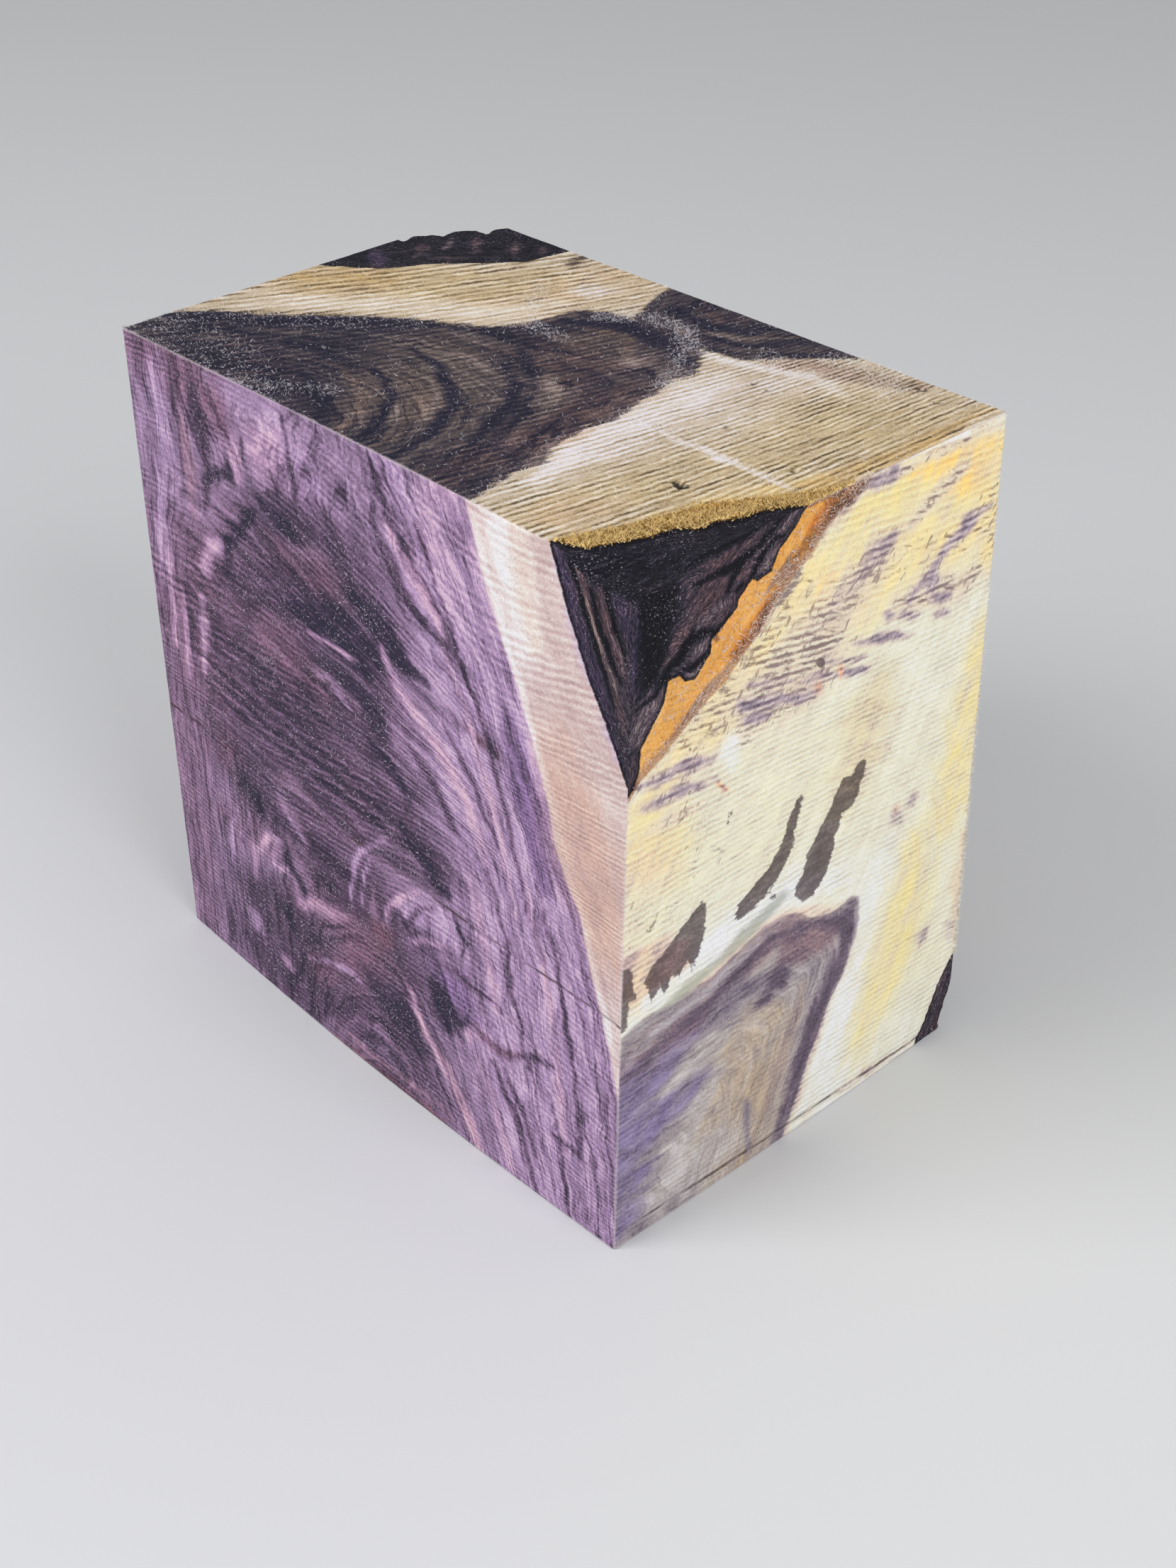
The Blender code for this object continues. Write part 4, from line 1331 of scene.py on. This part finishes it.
CAMBIUM_COLOURS = {
    "top": ((-1.0, (0.04, 0.018, 0.004)), (-0.2, (0.13, 0.065, 0.011)), (0.3, (0.40, 0.23, 0.05)),
            (1.0, (0.88, 0.62, 0.26))),
    "right": ((-1.0, (0.14, 0.075, 0.05)), (-0.5, (0.45, 0.19, 0.05)), (-0.1, (0.74, 0.33, 0.07)),
              (0.3, (0.86, 0.46, 0.13)), (1.0, (0.98, 0.74, 0.46))),
}
SKIN_COLOURS = ((-1.0, (0.08, 0.04, 0.035)), (0.0, (0.32, 0.175, 0.12)), (1.0, (0.72, 0.50, 0.38)))
SMEAR_COLOURS_AND_HOLE_SHADE = {
    "right": ((-1.0, (0.05, 0.036, 0.04)), (0.0, (0.145, 0.114, 0.118)), (1.0, (0.38, 0.32, 0.31))),
    # The top's are holes: painted near black, as painted shade inside them
    "top": ((-1.0, (0.006, 0.006, 0.010)), (0.0, (0.022, 0.018, 0.022)), (1.0, (0.10, 0.08, 0.08))),
}
MOTTLE_COLOUR = colour(0.22, 0.155, 0.185)
MILDEW_COLOUR = colour(0.30, 0.32, 0.24)
SEAM_COLOUR = colour(0.05, 0.03, 0.032)
FLECK_AND_GLINT_COLOUR = colour(0.66, 0.56, 0.70)
PALE_ARRIS_COLOUR = colour(0.66, 0.58, 0.60)

# How ragged the edge of the heartwood is (millimetres), how many pale flecks lie on a face (torn fibres,
# with painted glints of the light they catch), and how much of the purple-brown skin shows beside the
# cambium
EDGE_TEAR = {"top": 3.0, "front": 0.7, "right": 0.6}
FLECK_SHARE = {"top": 0.30, "front": 0.60, "right": 0.15}
SKIN_SHARE = {"top": 0.0, "front": 0.5, "right": 0.85}

# How strongly each part of the grain shows on each face, and how deep the saw marks are (millimetres)
# The colour of the saw marks is painted light on their crests and painted shade in their furrows
SAW_MARK_PAINTED_LIGHT = {"top": 0.25, "front": 0.14, "right": 0.14, "left": 0.14, "back": 0.3, "base": 0.2}
TEAR_SHADE = {"top": 0.40, "front": 0.20, "right": 0.16}
LINE_SHADE = {"top": 0.40, "front": 0.44, "right": 0.12}
HEART_MARK_PAINTED_LIGHT = {"top": 1.0, "front": 1.0, "right": 0.4}
SAP_MARK_PAINTED_LIGHT = {"top": 2.0, "front": 1.3, "right": 1.4}
SLASH_SHADE = {"top": 0.0, "front": 0.0, "right": 0.42}
DARK_CONTRAST = {"top": 1.2, "front": 0.80, "right": 1.0}
RING_SHADE = {"top": 0.85, "front": 0.72, "right": 0.55}
FUZZ_SHADE = {"top": 0.66, "front": 0.56, "right": 0.46}
MARK_DEPTH = {"top": 0.05, "front": 0.05, "right": 0.10, "left": 0.08, "back": 0.1, "base": 0.1}


class FaceRecipe(Recipe):
    """The recipe of one face, which also holds the grain as that face shows it."""

    def __init__(self, tree, name):
        super().__init__(tree)
        self.name = name
        self.look = HIDDEN_AS.get(name, name)
        self.spot = self.place()
        node = self.nodes.new("ShaderNodeGroup")
        node.node_tree = wood_grain
        self.put(node.inputs["Place"], self.spot)
        self.put(node.inputs["Ring"], self.field("ring"))
        self.put(node.inputs["Saw"], self.field("saw"))
        self.put(node.inputs["Pitch"], SAW_PITCH[name])
        self.grain = {part: node.outputs[part] for part in GRAIN_PARTS}

    def mixed(self, **shares):
        """Parts of the grain, each by its share."""
        return self.plus(*[self.times(self.grain[part], share) for part, share in shares.items()])


def plain_wood(wood):
    """Heartwood and sapwood, with their streaks, rings and saw marks."""
    look = wood.look
    # Painted light and shade of the saw marks: lighter crests, darker furrows
    marks = SAW_MARK_PAINTED_LIGHT[wood.name]
    shade = wood.field("shade")
    contrast = wood.fade(shade, -0.7, 0.3, DARK_CONTRAST[look], 1.0)
    rings = wood.mixed(Streak=RING_SHADE[look], Fibre=0.40, Tear=TEAR_SHADE[look], Line=-LINE_SHADE[look])
    dragged = wood.plus(wood.mixed(Tear=1.0), wood.times(rings, -0.75))
    figure = wood.math("MULTIPLY_ADD", wood.field("drag"), dragged, rings)
    figure = wood.plus(figure, wood.mixed(Blotch=0.30), 0.4 * LINE_SHADE[look])
    broken = wood.times(shade, wood.plus(wood.mixed(Streak=0.40, Fibre=0.35, Tear=0.20), 1.0))
    heart_shade = wood.plus(broken, wood.times(contrast, figure),
                            wood.mixed(Fuzz=FUZZ_SHADE[look], Marks=HEART_MARK_PAINTED_LIGHT[look] * marks))
    sap_grain = wood.mixed(Streak=0.26, Fibre=0.18, Blotch=0.22, Fuzz=0.8 * FUZZ_SHADE[look], Line=-0.05,
                           Tear=1.2 * TEAR_SHADE[look], Slash=SLASH_SHADE[look],
                           Marks=SAP_MARK_PAINTED_LIGHT[look] * marks)
    sap_shade = wood.plus(shade, sap_grain)
    torn_edge = wood.plus(wood.field("heart"), wood.mixed(Tear=EDGE_TEAR[look], Fuzz=0.4, Fibre=0.4))
    sap = wood.ramp(sap_shade, SAP_COLOURS_AND_FACE_LIGHT[look])
    return wood.blend(wood.fade(torn_edge, -0.5, 0.5), sap, wood.ramp(heart_shade, HEART_COLOURS[look]))


def with_stains(wood, tint):
    """Mottling, pits, mildew and smears of dark sap on the wood, painted shade in the holes of the top, and
    the seam that crosses it.
    """
    mottle = wood.field("mottle")
    spots = wood.plus(wood.grain["Mottle"], wood.math("MULTIPLY_ADD", mottle, 1.5, -1.45),
                      wood.mixed(Marks=-0.25, Fuzz=0.35))
    dashes = wood.plus(wood.grain["Tear"], wood.math("MULTIPLY_ADD", mottle, 1.6, -1.80),
                       wood.mixed(Marks=-0.22, Fuzz=0.35))
    spotted = wood.fade(wood.math("MAXIMUM", spots, dashes), -0.15, 0.65, 0.0, 0.85)
    pits = wood.plus(wood.mixed(Pits=1.1, Fuzz=0.15), wood.math("MINIMUM", mottle, 0.8))
    pitted = wood.fade(pits, 1.02, 1.35, 0.0, 0.70)
    tint = wood.blend(wood.math("MAXIMUM", spotted, pitted), tint, MOTTLE_COLOUR)
    mildew = wood.plus(wood.field("mildew"), wood.mixed(Fuzz=0.9, Tear=1.2))
    tint = wood.blend(wood.fade(mildew, -1.0, 1.8, 0.0, 0.60), tint, MILDEW_COLOUR)
    if wood.look in SMEAR_COLOURS_AND_HOLE_SHADE:
        ragged = 1.5 if wood.look == "right" else 0.0
        smear_and_hole_edge = wood.plus(wood.field("smear_and_hole"), wood.mixed(Fuzz=0.5, Tear=ragged))
        smear_colour_and_hole_shade = wood.ramp(wood.mixed(Fuzz=0.6, Blotch=0.5, Tear=0.7), SMEAR_COLOURS_AND_HOLE_SHADE[wood.look])
        tint = wood.blend(wood.fade(smear_and_hole_edge, -0.3, 0.3, 0.0, 0.96), tint, smear_colour_and_hole_shade)
    seam = wood.fade(wood.math("ABSOLUTE", wood.field("seam")), 0.15, 0.75, 0.85, 0.0)
    seam = wood.times(seam, wood.fade(wood.mixed(Blotch=1.0, Streak=0.6), -0.5, 0.4), clamp=True)
    return wood.blend(seam, tint, SEAM_COLOUR)


def with_cambium(wood, tint):
    """The spongy cambium beside the bark, with its purple-brown skin next to the wood."""
    coarse = 0.85 if wood.look == "top" else 0.60
    sponge = wood.plus(wood.mixed(Fuzz=coarse, Fleck=coarse - 0.35, Blotch=0.4, Streak=0.3),
                       wood.times(wood.field("shade"), 0.8))
    cambium = wood.ramp(sponge, CAMBIUM_COLOURS["top" if wood.look == "top" else "right"])
    inward = wood.plus(wood.field("cambium"), wood.times(wood.grain["Fuzz"], 1.4))
    skin = wood.fade(inward, 0.9, 3.6, SKIN_SHARE[wood.look], 0.0)
    drawn_skin = wood.fade(wood.plus(wood.field("mottle"), wood.mixed(Fuzz=0.3)), 1.05, 1.5)
    cambium = wood.blend(wood.math("MAXIMUM", skin, drawn_skin), cambium, wood.ramp(sponge, SKIN_COLOURS))
    edge = wood.plus(wood.field("cambium"), wood.mixed(Fuzz=0.6, Tear=0.5))
    return wood.blend(wood.fade(edge, -0.4, 0.4), tint, cambium)


def with_bark(wood, tint):
    """Bark over the rest. Also says where the bark is and how it stands out."""
    bark = wood.nodes.new("ShaderNodeGroup")
    bark.node_tree = walnut_bark
    wood.put(bark.inputs["Place"], wood.spot)
    for socket, field in (("Depth", "bark"), ("Outside", "outside"), ("Shade", "shade")):
        wood.put(bark.inputs[socket], wood.field(field))
    cut = wood.fade(wood.plus(wood.field("bark"), wood.times(wood.grain["Fuzz"], 0.3)), -0.25, 0.25)
    in_bark = wood.math("MAXIMUM", cut, wood.fade(wood.field("outside"), 0.0, 0.4))
    return wood.blend(in_bark, tint, bark.outputs["Colour"]), in_bark, bark.outputs["Height"]


def with_casts_and_dust(wood, tint, in_bark):
    """The violet, gold and rust casts of the figure, pale flecks of torn fibres with painted glints of the
    light they catch, and paler arrises.
    """
    for channel, cast in (("violet", VIOLET_CAST), ("gold", GOLD_CAST), ("rust", RUST_CAST)):
        clouds = wood.mixed(Blotch=0.7, Streak=0.5, Slash=2.0 * SLASH_SHADE[wood.look])
        amount = wood.times(wood.field(channel), wood.fade(clouds, -0.8, 0.8, 0.45, 1.40))
        tint = wood.blend(wood.math("MINIMUM", amount, 1.0), tint, cast, "MULTIPLY")
    # Pale flecks: torn fibres and painted glints of the light they catch, stronger on dark wood
    on_wood = wood.fade(wood.field("shade"), 0.2, -0.7, 0.06, FLECK_SHARE[wood.look])
    dust = wood.math("MAXIMUM", on_wood, wood.times(in_bark, 0.42))
    tint = wood.blend(wood.times(wood.grain["Fleck"], dust), tint, FLECK_AND_GLINT_COLOUR)
    # The arrises outside the bark are made paler
    arris = wood.fade(wood.plus(wood.field("arris"), wood.mixed(Fuzz=0.6, Blotch=0.5)), 0.7, 0.0)
    arris = wood.times(arris, wood.fade(wood.field("bark"), 0.0, -1.0), 0.45)
    return wood.blend(arris, tint, PALE_ARRIS_COLOUR)


def wood_material(name):
    """Rough-sawn walnut as one face shows it."""
    material, shader = new_material("sawn_walnut_" + name)
    wood = FaceRecipe(material.node_tree, name)
    tint = with_cambium(wood, with_stains(wood, plain_wood(wood)))
    tint, in_bark, bark_relief = with_bark(wood, tint)
    wood.put(shader.inputs["Base Color"], with_casts_and_dust(wood, tint, in_bark))

    relief = wood.mixed(Marks=MARK_DEPTH[name], Fibre=0.07, Fuzz=0.12, Fleck=0.12, Tear=0.08)
    relief = wood.math("MULTIPLY_ADD", in_bark, wood.plus(bark_relief, wood.times(relief, -1.0)), relief)
    bump = wood.nodes.new("ShaderNodeBump")
    bump.inputs["Strength"].default_value = 1.0
    bump.inputs["Distance"].default_value = 0.001
    wood.put(bump.inputs["Height"], relief)
    wood.put(shader.inputs["Normal"], bump.outputs["Normal"])
    wood.put(shader.inputs["Roughness"], wood.fade(wood.grain["Fuzz"], -1.0, 1.0, 0.72, 0.92))
    shader.inputs["Specular IOR Level"].default_value = 0.25
    return material


for face_name in FACE_NAMES:
    block_mesh.materials.append(wood_material(face_name))

block = put_in_scene("sawn_block", block_mesh)
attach(block, "root")
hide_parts("turning_blank")


# Torn fibres
# The saw left short torn fibres standing up from the wood: pale ones on the top and along the arrises,
# greyish ones on the dark heartwood, and a golden pelt where it cut through the spongy cambium.

# Where tufts of fibres stand on the top: how thick, over what width and along which line
TUFTS = (
    (0.8, 9, ((-198, 16), (-178, 32), (-156, 52), (-146, 62))),
    (0.8, 18, ((-196, 8), (-166, 14), (-136, 4))),
    (1.6, 7, ((-146, 4), (-134, 12), (-126, 18))),
    (4.0, 7, ((-114, 104), (-106, 113), (-94, 114), (-84, 107))),
    (3.0, 6, ((-82, 102), (-74, 93), (-70, 84))),
    (3.0, 5, ((-128, 82), (-120, 87), (-112, 84))),
    (1.6, 4, ((-142, 106), (-132, 92), (-118, 84))),
    (1.8, 9, ((-52, 128), (-38, 131), (-28, 124))),
    (1.2, 8, ((-68, 117), (-58, 113), (-48, 116))),
    (1.5, 2.5, ((-58, 62.4), (-30, 62.8), (-6, 62.0))),
)
SPIKES_A_BATCH = 150

# How far the middle of a spike stands out, as a share of its length, so that its root is sunk, and how
# much single spikes differ in length and width
STANDS_OUT = 0.42
LENGTH_RANGE = (0.4, 1.5)
WIDTH_RANGE = (0.7, 1.3)

# Fibres along the far edge of the right face: how close to it they stand, and how far they point past it
EDGE_BAND = 0.8
PAST_EDGE = 0.6

# Each growth of fibres: the face it stands on, its count, length and width in millimetres, how far it leans
# from straight out in degrees, and its darkest and lightest colour
GROWTHS = {
    "sapwood_fibres": ("top", 4500, 1.0, 0.18, (30, 80), (0.46, 0.38, 0.30), (0.92, 0.89, 0.86)),
    "heartwood_fibres": ("top", 4500, 0.9, 0.17, (30, 80), (0.05, 0.045, 0.07), (0.78, 0.74, 0.80)),
    "cambium_fibres": ("top", 2800, 1.5, 0.34, (20, 70), (0.22, 0.10, 0.012), (0.98, 0.74, 0.32)),
    "front_fibres": ("front", 6000, 0.8, 0.15, (55, 85), (0.22, 0.15, 0.24), (0.84, 0.72, 0.86)),
    "torn_cambium_fibres": ("right", 900, 2.0, 0.22, (45, 85), (0.40, 0.22, 0.13), (0.88, 0.78, 0.70)),
    "edge_fibres": ("right", 1500, 1.0, 0.18, (0, 60), (0.45, 0.36, 0.24), (0.92, 0.88, 0.80)),
}

loop_start = numbers_of(block_mesh.polygons, "loop_start", np.int64)


def thickness(growth, fields, places):
    """How thickly a growth stands at each place on its face."""
    bare = smooth(fields["bark"], 0.5, -0.5) * smooth(fields["outside"], 0.5, 0.0)
    bare *= smooth(fields["smear_and_hole"], 0.5, -0.5)
    wood = smooth(fields["cambium"], 0.8, -0.8)
    if growth == "cambium_fibres":
        return bare * (1.0 - wood)
    if growth == "torn_cambium_fibres":
        skin_side = 0.25 + np.exp(-(fields["cambium"] / 3.0) ** 2)
        return bare * smooth(fields["cambium"], -1.0, 0.5) * smooth(places[:, 1], 140.0, 172.0) * skin_side
    if growth == "edge_fibres":
        return bare * np.exp(-(SIZE[1] - places[:, 0]) / EDGE_BAND)
    if growth == "front_fibres":
        wooded = bare * smooth(fields["heart"], -4.0, 1.0) * smooth(places[:, 1], 1.5, 4.0)
        return wooded * (0.35 + smooth(fields["shade"], 0.0, -0.8))
    tufted = 0.12 + 0.7 * np.exp(-(fields["heart"] / 2.0) ** 2)
    for amount, width, line in TUFTS:
        tufted += amount * smooth(distance_to(places, line)[0], 0.5 * width + 2.0, 0.5 * width - 2.0)
    crests = 0.5 + 0.5 * np.sin(2.0 * math.pi * fields["saw"] / SAW_PITCH["top"])
    on_heart = smooth(fields["heart"], -0.8, 0.8)
    chosen = on_heart if growth == "heartwood_fibres" else 1.0 - on_heart
    return bare * wood * chosen * tufted * (0.4 + crests)


def grow(growth, face_name, number, length, width, leans, rng):
    """One mesh of many closed spikes rooted in a face, made in small batches and joined."""
    axis, sign, plane = FACES[face_name]
    cells = np.flatnonzero((slots == FACE_NAMES.index(face_name)) & (loop_totals == 4))
    corners = loop_start[cells][:, None] + np.arange(4)
    fields = {name: values[corners].mean(axis=1) for name, values in corner_values.items()}
    ends = finished[loop_vertex[corners]]
    places = (ends.mean(axis=1) * 1000.0 - shift - NEAR_FOOT)[:, plane]
    share = thickness(growth, fields, places)
    chosen = rng.choice(len(cells), size=number, p=share / share.sum())
    u, v = rng.random((2, number, 1))
    first, second, third, fourth = (ends[chosen, corner] for corner in range(4))
    roots = (1.0 - v) * ((1.0 - u) * first + u * second) + v * ((1.0 - u) * fourth + u * third)
    lean = np.radians(rng.uniform(*leans, number))
    around = rng.uniform(0.0, 2.0 * math.pi, number)
    directions = np.zeros((number, 3))
    directions[:, axis] = sign * np.cos(lean)
    directions[:, plane[0]] = np.sin(lean) * np.cos(around)
    directions[:, plane[1]] = np.sin(lean) * np.sin(around)
    if growth == "edge_fibres":
        directions[:, 1] = np.abs(directions[:, 1]) + PAST_EDGE
    lengths = length * rng.uniform(*LENGTH_RANGE, number) / 1000.0
    widths = width * rng.uniform(*WIDTH_RANGE, number) / 1000.0
    joined = bmesh.new()
    for start in range(0, number, SPIKES_A_BATCH):
        batch = bmesh.new()
        for spike in range(start, min(start + SPIKES_A_BATCH, number)):
            ahead = Vector(directions[spike]).normalized()
            middle = Vector(roots[spike]) + ahead * (STANDS_OUT * lengths[spike])
            turn = Matrix.Translation(middle) @ ahead.to_track_quat("Z", "Y").to_matrix().to_4x4()
            bmesh.ops.create_cone(batch, cap_ends=True, segments=3, radius1=0.5 * widths[spike], radius2=0.0,
                                  depth=lengths[spike], matrix=turn)
        piece = mesh_of(batch, "batch")
        joined.from_mesh(piece)
        bpy.data.meshes.remove(piece)
    return mesh_of(joined, growth)


def fibre_material(name, dark, light):
    material, shader = new_material(name)
    fibre = Recipe(material.node_tree)
    shade = fibre.noise(fibre.place(), 0.9, 2.0, 0.7)
    fibre.put(shader.inputs["Base Color"], fibre.ramp(shade, ((-0.7, dark), (0.5, light))))
    fibre.put(shader.inputs["Roughness"], fibre.fade(shade, -1.0, 1.0, 0.60, 0.85))
    return material


rng = np.random.default_rng(41)
for growth, (face_name, number, length, width, leans, dark, light) in GROWTHS.items():
    mesh = grow(growth, face_name, number, length, width, leans, rng)
    mesh.materials.append(fibre_material(growth, dark, light))
    fibres = put_in_scene(growth, mesh)
    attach(fibres, "root")


# The camera stands where the photographer stood, above the near corner and a little to its right. Its
# place is measured from the foot of the near corner, in metres.
near_foot = (NEAR_FOOT + shift) / 1000.0
CAMERA_FROM_FOOT = Vector((0.27585, -0.27011, 0.41610))
CAMERA_AHEAD = Vector((-0.60033, 0.56684, -0.56417))
LENS = 47.154
SENSOR_WIDTH = 36.0
NEAREST_SEEN = 0.01

camera_data = bpy.data.cameras.new("camera")
camera_data.lens = LENS
camera_data.sensor_width = SENSOR_WIDTH
camera_data.clip_start = NEAREST_SEEN
camera = put_in_scene("camera", camera_data)
camera.location = Vector(near_foot) + CAMERA_FROM_FOOT
camera.rotation_euler = CAMERA_AHEAD.to_track_quat("-Z", "Y").to_euler()
bpy.context.scene.camera = camera


# The floor is a plain pale sheet, lying flat under the block and wide enough to fill the photo's view.
# It is matt, so that it throws no glare up at the block.
FLOOR_SIZE = 6.0
FLOOR_COLOUR = (0.70, 0.71, 0.73, 1.0)
FLOOR_ROUGHNESS = 0.9

floor_bm = bmesh.new()
bmesh.ops.create_grid(floor_bm, x_segments=1, y_segments=1, size=FLOOR_SIZE / 2.0)
floor_mesh = mesh_of(floor_bm, "floor")
floor_paint, floor_shader = new_material("floor_paint")
floor_shader.inputs["Base Color"].default_value = FLOOR_COLOUR
floor_shader.inputs["Roughness"].default_value = FLOOR_ROUGHNESS
floor_mesh.materials.append(floor_paint)
floor = put_in_scene("floor", floor_mesh)


# Soft studio light: one large key lamp at the front left and one fill at the right, both aimed at the
# middle of the block, and a pale world. Places and sizes are in metres, power in watts.
BLOCK_MIDDLE = Vector((0.0, 0.0, 0.1))
WORLD_STRENGTH = 0.45


def soft_lamp(name, place, size, power):
    lamp_data = bpy.data.lights.new(name, "AREA")
    lamp_data.shape = "SQUARE"
    lamp_data.size = size
    lamp_data.energy = power
    lamp = put_in_scene(name, lamp_data)
    lamp.location = place
    lamp.rotation_euler = (BLOCK_MIDDLE - Vector(place)).to_track_quat("-Z", "Y").to_euler()


soft_lamp("key", place=(-0.5, -1.3, 1.3), size=0.9, power=16.1)
soft_lamp("fill", place=(1.5, -0.2, 1.0), size=1.0, power=14.6)
world = bpy.data.worlds.new("studio")
world.use_nodes = True
world.node_tree.nodes["Background"].inputs["Color"].default_value = (1.0, 1.0, 1.0, 1.0)
world.node_tree.nodes["Background"].inputs["Strength"].default_value = WORLD_STRENGTH
bpy.context.scene.world = world
bpy.context.scene.view_settings.view_transform = "Standard"
